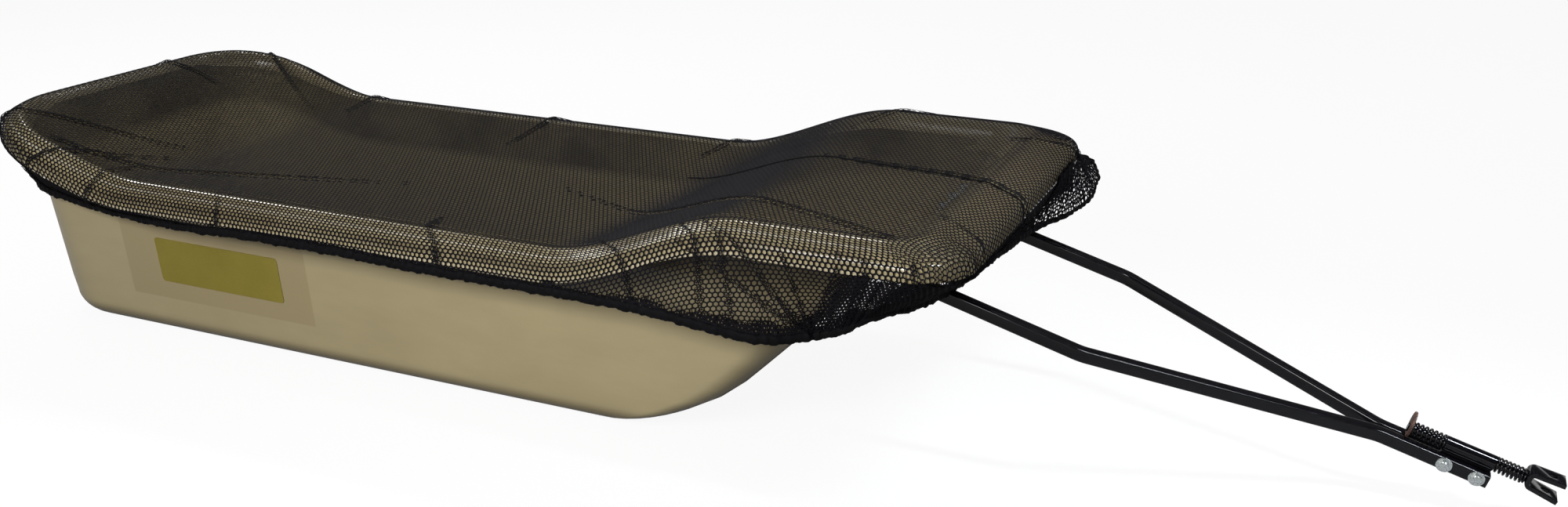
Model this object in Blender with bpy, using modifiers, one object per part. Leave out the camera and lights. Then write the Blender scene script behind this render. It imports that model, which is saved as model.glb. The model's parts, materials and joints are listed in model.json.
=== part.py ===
"""Utility sled: moulded hull, net cover and sprung tow hitch.

Metres, +X to the hitch, +Z up. The origin lies on the ground under the middle of the hull.
The sled's right side (-Y) is the one with the plate.
"""
import math

import bmesh
import bpy
from mathutils import Matrix, Vector

# Clearances
GAP = 0.0003              # between pieces that touch
BOLT_PLAY = 0.0004        # a hole's radius over its bolt's
PIVOT_PLAY = 0.0006       # arm to bracket ear, each side
ROD_PLAY = 0.0005         # sleeve bore over rod, radius
SPRING_PLAY = 0.0010      # spring's side over the arms' tops

# Hull
HULL_LENGTH = 1.858       # lip to lip
WALL = 0.004
FLOOR_HALF = 0.277        # half width where the side walls would meet the ground
SIDE_DRAFT = math.tan(math.radians(4.5))
STERN_DRAFT = math.tan(math.radians(3.0))
CHINE_RADIUS = 0.045      # side wall to floor
RAMP_START = 0.296        # X where the floor starts to curve up
RAMP_RADIUS = 0.410
RAMP_ANGLE = math.radians(45)
STERN_CORNER = 0.125      # plan radius of the walls at the stern
BOW_CORNER = 0.055
STERN_LIP_CORNER = 0.215  # plan radius of the rim's lip
BOW_LIP_CORNER = 0.080

# Height of the rim's crown amidships, at the bow and at the stern, and where it rises
CROWN_MID = 0.301
CROWN_BOW = 0.391
CROWN_STERN = 0.387
BOW_RISE = (0.279, 0.609)
STERN_RISE = (-0.535, -0.905)

# Rolled rim: width, and its section as (share of width at the side, same at the bow, height below crown)
RIM_WIDTH = 0.060
BOW_RIM_WIDTH = 0.122
RIM_ROOT = 0.050          # the walls' top edge, below the crown
RIM_SECTION = [
    (0.00, 0.00, -RIM_ROOT),
    (0.04, 0.22, -0.022),
    (0.18, 0.38, -0.006),
    (0.43, 0.58, 0.000),
    (0.70, 0.80, -0.005),
    (0.92, 0.94, -0.016),
    (1.00, 1.00, -0.036),
]
RIM_INNER = 2             # index in the section where the net leaves the rim

# Channels pressed up into the floor between the runners
CHANNEL_DEPTH = 0.008
CHANNEL_SPAN = (-0.72, 0.18)
CHANNEL_FADE = 0.06
CHANNEL_ACROSS = (0.4, 0.8)  # as shares of the floor's half width

# Rings round the hull: steps along a side, round a corner and across an end
SIDE_STEPS = 18
CORNER_STEPS = 5
END_STEPS = 8
WALL_LEVELS = (0.12, 0.27, 0.45, 0.70, 1.0)
CHINE_STEPS = 3

# Bare plate on the right side
LABEL_LENGTH = 0.272
LABEL_HEIGHT = 0.083
LABEL_THICKNESS = 0.0008
LABEL_X = -0.409
LABEL_Z = 0.1505
LABEL_CORNER = 0.006

# Net cover
NET_THICKNESS = 0.002
NET_LAY = WALL + 4 * GAP  # the net's inner face off the rim's underside
NET_SAG = 0.012
NET_HALF_SPAN = 0.800     # no dip beyond this distance from the middle
NET_STRAND = 0.012        # width of a strand of the net's solid
FOLDS = 34                # gathers round the border
FOLD_DEPTH = 0.0035
BORDER_START = 0.0022     # the border's top edge below the cover's
BORDER_STEPS = 2          # border points for each point of the hull's ring
HEM_HEIGHT = 0.011
HEM_THICKNESS = 0.005
HEM_SIDE_DROP = 0.020     # lip to the hem's lower edge at sides and stern
HEM_PLAY = 0.003          # the hem hangs this far outside the lip's line at the sides
HEM_BOW_Z = 0.231         # the hem's lowest place, behind the bow's corners
HEM_DIP = (0.42, 0.67)    # where it goes down to that
HEM_ARM_RISE = (0.70, 0.86)
HEM_FRONT_X = 0.875       # the hem's inner face where it lies on the arms
HEM_DRAW_START = 0.66     # from here forward the hem is drawn inward under the bow
HEM_NARROW = 0.10         # share of its width that it loses there
HEM_BORDER_LIFT = 0.0016  # the border ends this much higher over the hem at the bow

# Tow bar: square tubes, given along the bar from the pivot
TUBE = 0.01905
TUBE_WALL = 0.0021
TUBE_CORNER = 0.0022
PIVOT_X = 0.7761
PIVOT_Z = 0.2818
BAR_PITCH = math.radians(15.83)
ARM_Y = 0.1615            # arm centre at the pivot
REAR_BEND = 0.285
BAR_LENGTH = 0.848
ARMS_TOGETHER = 0.153     # length over which the arms run side by side
FRONT_BEND = BAR_LENGTH - ARMS_TOGETHER
BEND_RADIUS = 0.055
ARM_TAIL = 0.011          # tube past the pivot
PLATE_THICKNESS = 0.0040  # plate between the two arms
ARM_FRONT_Y = PLATE_THICKNESS / 2 + GAP + TUBE / 2

# Hardware
BOLT_D = 0.0079
HEAD_FLATS = 0.0127
HEAD_HEIGHT = 0.0053
NUT_HEIGHT = 0.0068
WASHER_THICKNESS = 0.0018
CLAMP_WASHER_D = 0.0216
PIVOT_WASHER_D = 0.0175
BOLT_TAIL = 0.004
HEAD_CROWN = 0.44         # radius of a head's top, as a share of its width across flats
HEAD_CHAMFER = 0.85       # share of a head's height at which it starts to round off
REAR_CLAMP_BACK = 0.0600  # clamp bolts back from the arms' ends
FRONT_CLAMP_BACK = 0.0155
CLAMP_AT = (BAR_LENGTH - REAR_CLAMP_BACK, BAR_LENGTH - FRONT_CLAMP_BACK)
SMALL_BOLT_D = 0.0060
SMALL_FLATS = 0.0100
SMALL_HEAD = 0.0040
SMALL_NUT = 0.0050

# Bow brackets
BRACKET_PLATE = 0.003
BRACKET_HEIGHT = 0.044    # up the ramp
BRACKET_WIDTH = 0.068
EAR_WIDTH = 0.024
PIVOT_OFFSET = 0.0202     # pivot axis off the hull's ramp
BRACKET_BOLT_U = 0.014
BRACKET_BOLT_Y = 0.025
BACKING_MARGIN = 0.004

# Shock rod, sleeve and springs, along the bar from the pivot
ROD_D = 0.0127
SLEEVE_D = 0.0222
SLEEVE_LENGTH = 0.069
SLEEVE_END = BAR_LENGTH
SLEEVE_START = SLEEVE_END - SLEEVE_LENGTH
PLATE_LEAD = 0.004        # the plate between the arms starts this far behind the sleeve
PLATE_CHAMFER = 0.004     # its rear corner is cut to this far below the arms' tops
ROD_Z = 0.0220            # rod axis above the arms' axis
REAR_SPRING_SPACE = 0.0475
FRONT_SPRING_SPACE = 0.041
RETAINER_THICKNESS = 0.003
RETAINER_AT = SLEEVE_START - REAR_SPRING_SPACE - RETAINER_THICKNESS  # its rear face
RETAINER_RADIUS = 0.019
RETAINER_LIFT = 0.006     # its centre above the rod axis
ROD_TAIL = 0.002
CLEVIS_AT = SLEEVE_END + FRONT_SPRING_SPACE
SPRING_WIRE = 0.003
SPRING_CURLS = 7
SPRING_TURN_IN = 0.45 * SPRING_WIRE  # room in which the wire turns from a curl to its straight end
SPRING_TURN_STEP = 0.6 * SPRING_TURN_IN
POINTS_PER_CURL = 8
SPRING_D = 2 * (ROD_Z - TUBE / 2 - SPRING_PLAY)

# Clevis: a strap bent to a U
STRAP = 0.00635
CLEVIS_WIDTH = 0.03175
CLEVIS_HEIGHT = 0.0256
CLEVIS_LIFT = 0.0031      # its middle above the rod axis
CLEVIS_LENGTH = 0.047
CLEVIS_BEND = 0.009       # outer radius
UPPER_SPLAY = math.radians(2.5)
LOWER_SPLAY = math.radians(7.5)
PIN_HOLE_D = 0.0130
PIN_HOLE_BACK = 0.0170    # hole centre from the ears' ends
EDGE = 0.0008             # broken edge of the rod

# Facets round a hole, a washer, the rod and the sleeve
DRILL_STEPS = 12
WASHER_STEPS = 18
ROD_STEPS = 20
SLEEVE_STEPS = 24

# Colours
TAN = (0.42, 0.36, 0.22)
OLIVE = (0.24, 0.21, 0.05)
BLACK = (0.012, 0.012, 0.014)
NET_BLACK = (0.014, 0.012, 0.014)
STEEL = (0.55, 0.56, 0.58)
RUST = (0.12, 0.07, 0.05)


def clear_scene():
    for item in list(bpy.data.objects):
        bpy.data.objects.remove(item, do_unlink=True)


def collection(name):
    group = bpy.data.collections.new(name)
    bpy.context.scene.collection.children.link(group)
    return group


def material(name, colour, roughness, metallic=0.0):
    mat = bpy.data.materials.new(name)
    mat.use_nodes = True
    shader = mat.node_tree.nodes["Principled BSDF"]
    shader.inputs["Base Color"].default_value = (*colour, 1.0)
    shader.inputs["Roughness"].default_value = roughness
    shader.inputs["Metallic"].default_value = metallic
    mat.diffuse_color = (*colour, 1.0)
    return mat


def add(name, mesh, mat, parent=None, matrix=None):
    """Put a mesh in the scene as one named part, placed by a matrix in its parent's frame."""
    item = bpy.data.objects.new(name, mesh)
    parts.objects.link(item)
    mesh.materials.clear()
    mesh.materials.append(mat)
    item.parent = parent
    if matrix is not None:
        item.matrix_basis = matrix
    return item


def finish_mesh(bm, name, closed=True):
    """Turn a bmesh into a mesh, smooth on round stretches. A closed one gets its faces out."""
    if closed:
        bmesh.ops.recalc_face_normals(bm, faces=bm.faces)
    mesh = bpy.data.meshes.new(name)
    bm.to_mesh(mesh)
    bm.free()
    mesh.shade_smooth()
    mesh.set_sharp_from_angle(angle=math.radians(32))
    return mesh


def solidify(item, thickness, offset):
    shell = item.modifiers.new("wall", "SOLIDIFY")
    shell.thickness = thickness
    shell.offset = offset
    shell.use_even_offset = True
    shell.use_quality_normals = True


def bevel(item, width, segments=2):
    edge = item.modifiers.new("edges", "BEVEL")
    edge.width = width
    edge.segments = segments
    edge.limit_method = "ANGLE"


def cut(item, cutter):
    hole = item.modifiers.new("hole", "BOOLEAN")
    hole.operation = "DIFFERENCE"
    hole.object = cutter


def join(item, tool):
    union = item.modifiers.new("union", "BOOLEAN")
    union.operation = "UNION"
    union.object = tool


def hide_cutter(item):
    for group in list(item.users_collection):
        group.objects.unlink(item)
    cutters.objects.link(item)
    item.hide_render = True
    item.display_type = "WIRE"
    return item


def along(axis, centre):
    """Matrix that turns local +Z to an axis and moves the origin to a centre."""
    turn = Vector((0, 0, 1)).rotation_difference(Vector(axis)).to_matrix().to_4x4()
    return Matrix.Translation(centre) @ turn


def drill(name, radius, length, centre, axis, parent=None):
    """Round cutter about a centre, along an axis."""
    bm = bmesh.new()
    size = {"radius1": radius, "radius2": radius, "depth": length}
    bmesh.ops.create_cone(bm, cap_ends=True, segments=DRILL_STEPS, **size)
    item = add(name, finish_mesh(bm, name), steel, parent, along(axis, centre))
    return hide_cutter(item)


def block(name, size, centre, mat, parent=None):
    """Box of a given size about a centre, its scale applied."""
    bm = bmesh.new()
    bmesh.ops.create_cube(bm, size=1.0)
    bmesh.ops.scale(bm, vec=size, verts=bm.verts)
    return add(name, finish_mesh(bm, name), mat, parent, Matrix.Translation(centre))


def smooth_step(value):
    value = min(1.0, max(0.0, value))
    return value * value * (3 - 2 * value)


def crown(x):
    """Height of the rim's crown at a place along the hull."""
    bow = smooth_step((x - BOW_RISE[0]) / (BOW_RISE[1] - BOW_RISE[0]))
    stern = smooth_step((x - STERN_RISE[0]) / (STERN_RISE[1] - STERN_RISE[0]))
    return CROWN_MID + (CROWN_BOW - CROWN_MID) * bow + (CROWN_STERN - CROWN_MID) * stern


def ramp_x(z):
    """X of the bow ramp's outer face at a height."""
    arc_top = RAMP_RADIUS * (1 - math.cos(RAMP_ANGLE))
    if z <= arc_top:
        return RAMP_START + math.sqrt(max(0.0, 2 * RAMP_RADIUS * z - z * z))
    return RAMP_START + RAMP_RADIUS * math.sin(RAMP_ANGLE) + (z - arc_top) / math.tan(RAMP_ANGLE)


def stern_x(z):
    """X of the stern wall's outer face at a height."""
    root = HULL_LENGTH / 2 - RIM_WIDTH
    return -(root - (CROWN_STERN - RIM_ROOT - z) * STERN_DRAFT)


def half_width(z):
    return FLOOR_HALF + z * SIDE_DRAFT


def rounded_outline(rear, front, half, rear_corner, front_corner):
    """Plan ring of a rounded rectangle, anticlockwise from the right end of the stern."""
    points = []

    def arc(x, y, radius, start):
        for step in range(CORNER_STEPS + 1):
            angle = math.radians(start + 90 * step / CORNER_STEPS)
            points.append((x + radius * math.cos(angle), y + radius * math.sin(angle)))

    def run(start, end, steps):
        for step in range(1, steps):
            share = step / steps
            points.append(tuple(a + (b - a) * share for a, b in zip(start, end)))

    arc(rear + rear_corner, -half + rear_corner, rear_corner, 180)
    run((rear + rear_corner, -half), (front - front_corner, -half), SIDE_STEPS)
    arc(front - front_corner, -half + front_corner, front_corner, 270)
    run((front, -half + front_corner), (front, half - front_corner), END_STEPS)
    arc(front - front_corner, half - front_corner, front_corner, 0)
    run((front - front_corner, half), (rear + rear_corner, half), SIDE_STEPS)
    arc(rear + rear_corner, half - rear_corner, rear_corner, 90)
    run((rear, half - rear_corner), (rear, -half + rear_corner), END_STEPS)
    return points


def chine_ring(angle):
    """Ring of the rounded edge between floor and walls, from 0 on the floor to 90 degrees."""
    z = CHINE_RADIUS * (1 - math.cos(angle))
    inset = CHINE_RADIUS * (1 - math.sin(angle))
    outline = rounded_outline(
        stern_x(0) + inset,
        ramp_x(z),
        half_width(CHINE_RADIUS) - inset,
        STERN_CORNER - inset,
        BOW_CORNER - inset,
    )
    return [(x, y, z) for x, y in outline]


def wall_ring(share):
    """Ring of the walls, from the chine at 0 to the rim's root at 1."""

    def height(x):
        return CHINE_RADIUS + (crown(x) - RIM_ROOT - CHINE_RADIUS) * share

    bow_z = height(HULL_LENGTH / 2)
    stern_z = height(-HULL_LENGTH / 2)
    outline = rounded_outline(stern_x(stern_z), ramp_x(bow_z), half_width(bow_z), STERN_CORNER, BOW_CORNER)
    ring = []
    for x, y in outline:
        z = height(x)
        ring.append((x, y * half_width(z) / half_width(bow_z), z))
    return ring


def rim_ring(side_share, bow_share, drop, off=(0.0, 0.0)):
    """Ring of the rim's underside. off moves it outward and upward, for what lies on the rim."""
    out = (RIM_WIDTH - WALL) * side_share + off[0]
    bow_out = (BOW_RIM_WIDTH - WALL) * bow_share + off[0]
    bow_z = CROWN_BOW - RIM_ROOT
    half = half_width(bow_z) + out
    outline = rounded_outline(
        stern_x(CROWN_STERN - RIM_ROOT) - out,
        ramp_x(bow_z) + bow_out,
        half,
        STERN_CORNER + (STERN_LIP_CORNER - STERN_CORNER) * side_share,
        BOW_CORNER + (BOW_LIP_CORNER - BOW_CORNER) * bow_share,
    )
    ring = []
    for x, y in outline:
        root_half = half_width(crown(x) - RIM_ROOT) + out
        ring.append((x, y * root_half / half, crown(x) - WALL + drop + off[1]))
    return ring


ROWS = 2 * CORNER_STEPS + SIDE_STEPS + 1


def row_of_ring(ring, row):
    """The right and left point of a ring that face each other, counted from the stern."""
    left = (ROWS + END_STEPS - 1) + (ROWS - 1 - row)
    return ring[row], ring[left]


def loft(bm, rings):
    """Skin between rings of bmesh points, in triangles, so that shells laid on each other fold alike."""
    faces = []
    for lower, upper in zip(rings, rings[1:]):
        for index in range(len(lower)):
            after = (index + 1) % len(lower)
            faces.append(bm.faces.new((lower[index], lower[after], upper[after])))
            faces.append(bm.faces.new((lower[index], upper[after], upper[index])))
    return faces


def fill_across(bm, ring, height):
    """Cells across a ring, from its right side to its left. height gives Z from x and share of y."""
    grid = []
    for row in range(ROWS):
        right, left = row_of_ring(ring, row)
        if row == 0:
            inner = [ring[len(ring) - step] for step in range(1, END_STEPS)]
        elif row == ROWS - 1:
            inner = [ring[ROWS - 1 + step] for step in range(1, END_STEPS)]
        else:
            inner = []
            for step in range(1, END_STEPS):
                across = step / END_STEPS
                place = right.co.lerp(left.co, across)
                place.z += height(place.x, 2 * across - 1)
                inner.append(bm.verts.new(place))
        grid.append([right, *inner, left])
    cells = []
    for low, high in zip(grid, grid[1:]):
        for column in range(END_STEPS):
            corners = (low[column], high[column], high[column + 1], low[column + 1])
            cells.append(bm.faces.new(corners))
    return cells


def channel_height(x, across):
    """Rise of the channels pressed into the floor, zero on the runners and the middle."""
    start, end = CHANNEL_SPAN
    fade = smooth_step((x - start) / CHANNEL_FADE) * smooth_step((end - x) / CHANNEL_FADE)
    pressed = CHANNEL_ACROSS[0] < abs(across) < CHANNEL_ACROSS[1]
    return CHANNEL_DEPTH * fade * pressed


def hull_shell():
    bm = bmesh.new()
    rings = [chine_ring(math.radians(90) * step / CHINE_STEPS) for step in range(CHINE_STEPS + 1)]
    rings += [wall_ring(level) for level in WALL_LEVELS]
    rings += [rim_ring(*section) for section in RIM_SECTION[1:]]
    verts = [[bm.verts.new(point) for point in ring] for ring in rings]
    loft(bm, verts)
    for face in fill_across(bm, verts[0], channel_height):
        face.normal_flip()
    mesh = finish_mesh(bm, "hull_shell", closed=False)
    item = add("hull_shell", mesh, tan)
    solidify(item, WALL, -1.0)
    return item


def hull_label():
    """Thin plate that lies on the right side wall, tilted by its draft."""
    bm = bmesh.new()
    bmesh.ops.create_cube(bm, size=1.0)
    bmesh.ops.scale(bm, vec=(LABEL_LENGTH, LABEL_THICKNESS, LABEL_HEIGHT), verts=bm.verts)
    upright = [
        edge
        for edge in bm.edges
        if abs(edge.verts[0].co.x - edge.verts[1].co.x) < GAP
        and abs(edge.verts[0].co.z - edge.verts[1].co.z) < GAP
    ]
    bmesh.ops.bevel(bm, geom=upright, offset=LABEL_CORNER, segments=4, profile=0.5, affect="EDGES")
    lean = math.atan(SIDE_DRAFT)
    off = (GAP + LABEL_THICKNESS / 2) / math.cos(lean)
    place = Matrix.Translation((LABEL_X, -(half_width(LABEL_Z) + off), LABEL_Z))
    add("hull_label", finish_mesh(bm, "hull_label"), olive, None, place @ Matrix.Rotation(lean, 4, "X"))


def section_offset(index, distance):
    """How far outward and up a rim section point moves along its normal."""
    before = RIM_SECTION[max(index - 1, 0)]
    after = RIM_SECTION[min(index + 1, len(RIM_SECTION) - 1)]
    run = (after[0] - before[0]) * RIM_WIDTH
    rise = after[2] - before[2]
    length = math.hypot(run, rise)
    return (-rise / length * distance, run / length * distance)


def net_sag(x, across):
    """Dip of the net between the rims, none at the rims themselves."""
    along_hull = min(1.0, abs(x) / NET_HALF_SPAN)
    return -NET_SAG * (1 - across * across) * (1 - along_hull**4)


def narrow_side(face):
    """Width of a cell across its longest edge."""
    return face.calc_area() / max(edge.calc_length() for edge in face.edges)


def net_cover():
    """The net from its middle over the rim's crown to the lip."""
    bm = bmesh.new()
    rings = []
    for index in range(RIM_INNER, len(RIM_SECTION)):
        ring = rim_ring(*RIM_SECTION[index], section_offset(index, NET_LAY))
        rings.append([bm.verts.new(point) for point in ring])
    bmesh.ops.reverse_faces(bm, faces=loft(bm, rings))
    cells = fill_across(bm, rings[0], net_sag)
    bm.normal_update()
    wide = [face for face in cells if narrow_side(face) > 2 * NET_STRAND]
    bmesh.ops.inset_individual(bm, faces=wide, thickness=NET_STRAND / 2, use_even_offset=True)
    bmesh.ops.delete(bm, geom=wide, context="FACES")
    print(f"net_cover: {len(wide)} gaps")
    item = add("net_cover", finish_mesh(bm, "net_cover", closed=False), net_black)
    solidify(item, NET_THICKNESS, 1.0)


def refine(ring, steps):
    """The same ring with more points on each of its runs."""
    fine = []
    for start, end in zip(ring, ring[1:] + ring[:1]):
        for step in range(steps):
            share = step / steps
            fine.append(tuple(a + (b - a) * share for a, b in zip(start, end)))
    return fine


def hem_low(x):
    """Height of the hem's lower edge under a place on the lip."""
    side = crown(min(x, 0.0)) + RIM_SECTION[-1][2] - HEM_SIDE_DROP
    dip = smooth_step((x - HEM_DIP[0]) / (HEM_DIP[1] - HEM_DIP[0]))
    low = side + (HEM_BOW_Z - side) * dip
    over_arms = arm_top(HEM_FRONT_X) + 3 * GAP
    front = smooth_step((x - HEM_ARM_RISE[0]) / (HEM_ARM_RISE[1] - HEM_ARM_RISE[0]))
    return low + (over_arms - low) * front


def arm_top(x):
    """Height of the arms' top faces at rest."""
    return PIVOT_Z - (x - PIVOT_X) * math.tan(BAR_PITCH) + TUBE / 2 / math.cos(BAR_PITCH)


def hem_draw(x):
    """How far the hem is drawn inward under the bow, from 0 to 1."""
    return smooth_step((x - HEM_DRAW_START) / (HULL_LENGTH / 2 - HEM_DRAW_START))


def hem_outline(lip):
    """Plan of the hem's inner face: below the lip at the sides, drawn in to the arms at the bow."""
    front = max(x for x, y, z in lip)
    outline = []
    for x, y, z in lip:
        draw = hem_draw(x)
        out = math.copysign(HEM_PLAY * min(1.0, abs(y) / HEM_PLAY), y) * (1 - draw)
        outline.append((x - (front - HEM_FRONT_X) * draw, y * (1 - HEM_NARROW * draw) + out, z))
    return outline


def gather(ring):
    """Push each point of a plan ring outward by the depth of the fold it lies in."""
    folded = []
    for index, (x, y, z) in enumerate(ring):
        before = Vector(ring[index - 1])
        after = Vector(ring[(index + 1) % len(ring)])
        ahead = (after - before).normalized()
        fold = FOLD_DEPTH * (0.5 + 0.5 * math.sin(math.tau * FOLDS * index / len(ring)))
        folded.append((x + ahead.y * fold, y - ahead.x * fold))
    return folded


def border_levels():
    """Rings of the net's border: the lip, the hem's top edge and its lower edge."""
    lip = refine(rim_ring(*RIM_SECTION[-1], section_offset(len(RIM_SECTION) - 1, NET_LAY)), BORDER_STEPS)
    low, top = [], []
    for (x, y), (lip_x, _, _) in zip(gather(hem_outline(lip)), lip):
        z = hem_low(lip_x)
        low.append((x, y, z))
        top.append((x, y, z + HEM_HEIGHT))
    return lip, top, low


def net_border_and_hem():
    lip, top, low = border_levels()
    bm = bmesh.new()
    start = [bm.verts.new((x, y, z - BORDER_START)) for x, y, z in lip]
    end = [bm.verts.new((x, y, z + 2 * GAP + HEM_BORDER_LIFT * hem_draw(x))) for x, y, z in top]
    loft(bm, [end, start])
    item = add("net_border", finish_mesh(bm, "net_border", closed=False), net_black)
    solidify(item, NET_THICKNESS, 1.0)

    bm = bmesh.new()
    loft(bm, [[bm.verts.new(point) for point in low], [bm.verts.new(point) for point in top]])
    item = add("net_hem", finish_mesh(bm, "net_hem", closed=False), black_cloth)
    solidify(item, HEM_THICKNESS, 1.0)


def fillet(corners, radius, steps):
    """Path through corner points in a plane, with each inner corner turned to an arc."""
    path = [Vector(corners[0])]
    for before, corner, after in zip(corners, corners[1:], corners[2:]):
        corner = Vector(corner)
        back = (Vector(before) - corner).normalized()
        ahead = (Vector(after) - corner).normalized()
        half = back.angle(ahead) / 2
        reach = radius / math.tan(half)
        centre = corner + (back + ahead).normalized() * (radius / math.sin(half))
        start = (corner + back * reach - centre).normalized()
        end = (corner + ahead * reach - centre).normalized()
        for step in range(steps + 1):
            path.append(centre + start.slerp(end, step / steps) * radius)
    path.append(Vector(corners[-1]))
    return path


def sweep(bm, path, section, up):
    """Skin of a section carried along a path. section gives (side, up) offsets."""
    rings = []
    for index, place in enumerate(path):
        before = path[max(index - 1, 0)]
        after = path[min(index + 1, len(path) - 1)]
        ahead = (after - before).normalized()
        side = up.cross(ahead)
        rings.append([bm.verts.new(place + side * a + up * b) for a, b in section])
    loft(bm, rings)
    return rings


def square_section(size, corner):
    """Outline of a square tube with rounded corners."""
    points = []
    inner = size / 2 - corner
    for quarter, (a, b) in enumerate(((1, 1), (-1, 1), (-1, -1), (1, -1))):
        for step in range(3):
            angle = math.radians(90 * quarter + 45 * step)
            points.append((a * inner + corner * math.cos(angle), b * inner + corner * math.sin(angle)))
    return points


def tow_arm(name, side):
    """Square tube from its bracket to the clamp, drilled for the pivot and the clamp bolts."""
    corners = [
        (-ARM_TAIL, side * ARM_Y, 0),
        (REAR_BEND, side * ARM_Y, 0),
        (FRONT_BEND, side * ARM_FRONT_Y, 0),
        (BAR_LENGTH, side * ARM_FRONT_Y, 0),
    ]
    bm = bmesh.new()
    path = fillet(corners, BEND_RADIUS, 4)
    sweep(bm, path, square_section(TUBE, TUBE_CORNER), Vector((0, 0, 1)))
    item = add(name, finish_mesh(bm, name), black_paint, bar)
    solidify(item, TUBE_WALL, -1.0)
    radius = BOLT_D / 2 + BOLT_PLAY
    across = (0, 1, 0)
    cut(item, drill(name + "_pivot_hole", radius, 2 * TUBE, (0, side * ARM_Y, 0), across, bar))
    for number, place in enumerate(CLAMP_AT):
        centre = (place, side * ARM_FRONT_Y, 0)
        cut(item, drill(f"{name}_clamp_hole_{number}", radius, 1.2 * TUBE, centre, across, bar))


def hex_radius(flats, angle):
    """Distance from the middle of a hexagon to its edge in a direction."""
    turn = math.fmod(angle, math.radians(60)) - math.radians(30)
    return flats / 2 / math.cos(turn)


def stack(name, sections, steps, closed=False):
    """Mesh of a turned or hexagonal solid: sections are (radius or function of angle, z)."""
    bm = bmesh.new()
    rings = []
    for radius, z in sections:
        ring = []
        for step in range(steps):
            angle = math.tau * step / steps
            reach = radius(angle) if callable(radius) else radius
            ring.append(bm.verts.new((reach * math.cos(angle), reach * math.sin(angle), z)))
        rings.append(ring)
    if closed:
        loft(bm, rings + rings[:1])
    else:
        loft(bm, rings)
        bm.faces.new(rings[0])
        bm.faces.new(rings[-1])
    return finish_mesh(bm, name)


def bolt(name, matrix, diameter, length, flats, height, parent=None):
    """Hex bolt whose head bears at local z = 0; the shank runs to -length."""

    def head(angle):
        return hex_radius(flats, angle)

    shank = diameter / 2
    crown_radius = HEAD_CROWN * flats
    chamfer = HEAD_CHAMFER * height
    sections = [(shank, -length), (shank, 0), (head, 0), (head, chamfer), (crown_radius, height)]
    add(name, stack(name, sections, 12), steel, parent, matrix)


def nut(name, matrix, diameter, flats, height, parent=None):
    """Hex nut that bears at local z = 0."""

    def wall(angle):
        return hex_radius(flats, angle)

    bore = diameter / 2 + GAP
    sections = [(bore, 0), (wall, 0), (wall, height), (bore, height)]
    add(name, stack(name, sections, 12, closed=True), steel, parent, matrix)


def washer(name, matrix, bore_d, outer_d, thickness, parent=None):
    """Plain washer that bears at local z = 0."""
    bore = bore_d / 2 + GAP
    outer = outer_d / 2
    sections = [(bore, 0), (outer, 0), (outer, thickness), (bore, thickness)]
    add(name, stack(name, sections, WASHER_STEPS, closed=True), steel, parent, matrix)


def clamp_hardware():
    """Bolts through both arms and the plate; their heads are on the right."""
    face = ARM_FRONT_Y + TUBE / 2 + GAP
    outer = face + WASHER_THICKNESS + GAP
    length = 2 * outer + NUT_HEIGHT + BOLT_TAIL
    for word, place in zip(("rear", "front"), CLAMP_AT):
        head = along((0, -1, 0), (place, -outer, 0))
        bolt(word + "_clamp_bolt", head, BOLT_D, length, HEAD_FLATS, HEAD_HEIGHT, bar)
        seat = along((0, 1, 0), (place, outer, 0))
        nut(word + "_clamp_nut", seat, BOLT_D, HEAD_FLATS, NUT_HEIGHT, bar)
        for end, side in (("head", -1), ("nut", 1)):
            spot = along((0, side, 0), (place, side * face, 0))
            washer(f"{word}_clamp_{end}_washer", spot, BOLT_D, CLAMP_WASHER_D, WASHER_THICKNESS, bar)


def pivot_hardware():
    """One bolt for each arm, through both ears of its bracket, with its head outboard."""
    ear = TUBE / 2 + PIVOT_PLAY + BRACKET_PLATE + GAP
    outer = ear + WASHER_THICKNESS + GAP
    length = 2 * outer + NUT_HEIGHT + BOLT_TAIL
    for word, side in (("left", 1), ("right", -1)):
        head = along((0, side, 0), (PIVOT_X, side * (ARM_Y + outer), PIVOT_Z))
        bolt(word + "_pivot_bolt", head, BOLT_D, length, HEAD_FLATS, HEAD_HEIGHT)
        seat = along((0, -side, 0), (PIVOT_X, side * (ARM_Y - outer), PIVOT_Z))
        nut(word + "_pivot_nut", seat, BOLT_D, HEAD_FLATS, NUT_HEIGHT)
        for end, way in (("head", side), ("nut", -side)):
            spot = along((0, way, 0), (PIVOT_X, side * ARM_Y + way * ear, PIVOT_Z))
            washer(f"{word}_pivot_{end}_washer", spot, BOLT_D, PIVOT_WASHER_D, WASHER_THICKNESS)


def plate(name, outline, thickness, mat, parent, matrix):
    """Flat plate from an outline, as a mesh that can be drilled."""
    curve = bpy.data.curves.new(name, "CURVE")
    curve.dimensions = "2D"
    curve.fill_mode = "BOTH"
    curve.extrude = thickness / 2
    spline = curve.splines.new("POLY")
    spline.points.add(len(outline) - 1)
    for point, place in zip(spline.points, outline):
        point.co = (place[0], place[1], 0, 1)
    spline.use_cyclic_u = True
    flat = bpy.data.objects.new(name + "_outline", curve)
    parts.objects.link(flat)
    bpy.context.view_layer.update()
    evaluated = flat.evaluated_get(bpy.context.evaluated_depsgraph_get())
    mesh = bpy.data.meshes.new_from_object(evaluated)
    bpy.data.objects.remove(flat)
    bm = bmesh.new()
    bm.from_mesh(mesh)
    bmesh.ops.remove_doubles(bm, verts=bm.verts, dist=0.00001)
    bpy.data.meshes.remove(mesh)
    return add(name, finish_mesh(bm, name), mat, parent, matrix)


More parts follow.
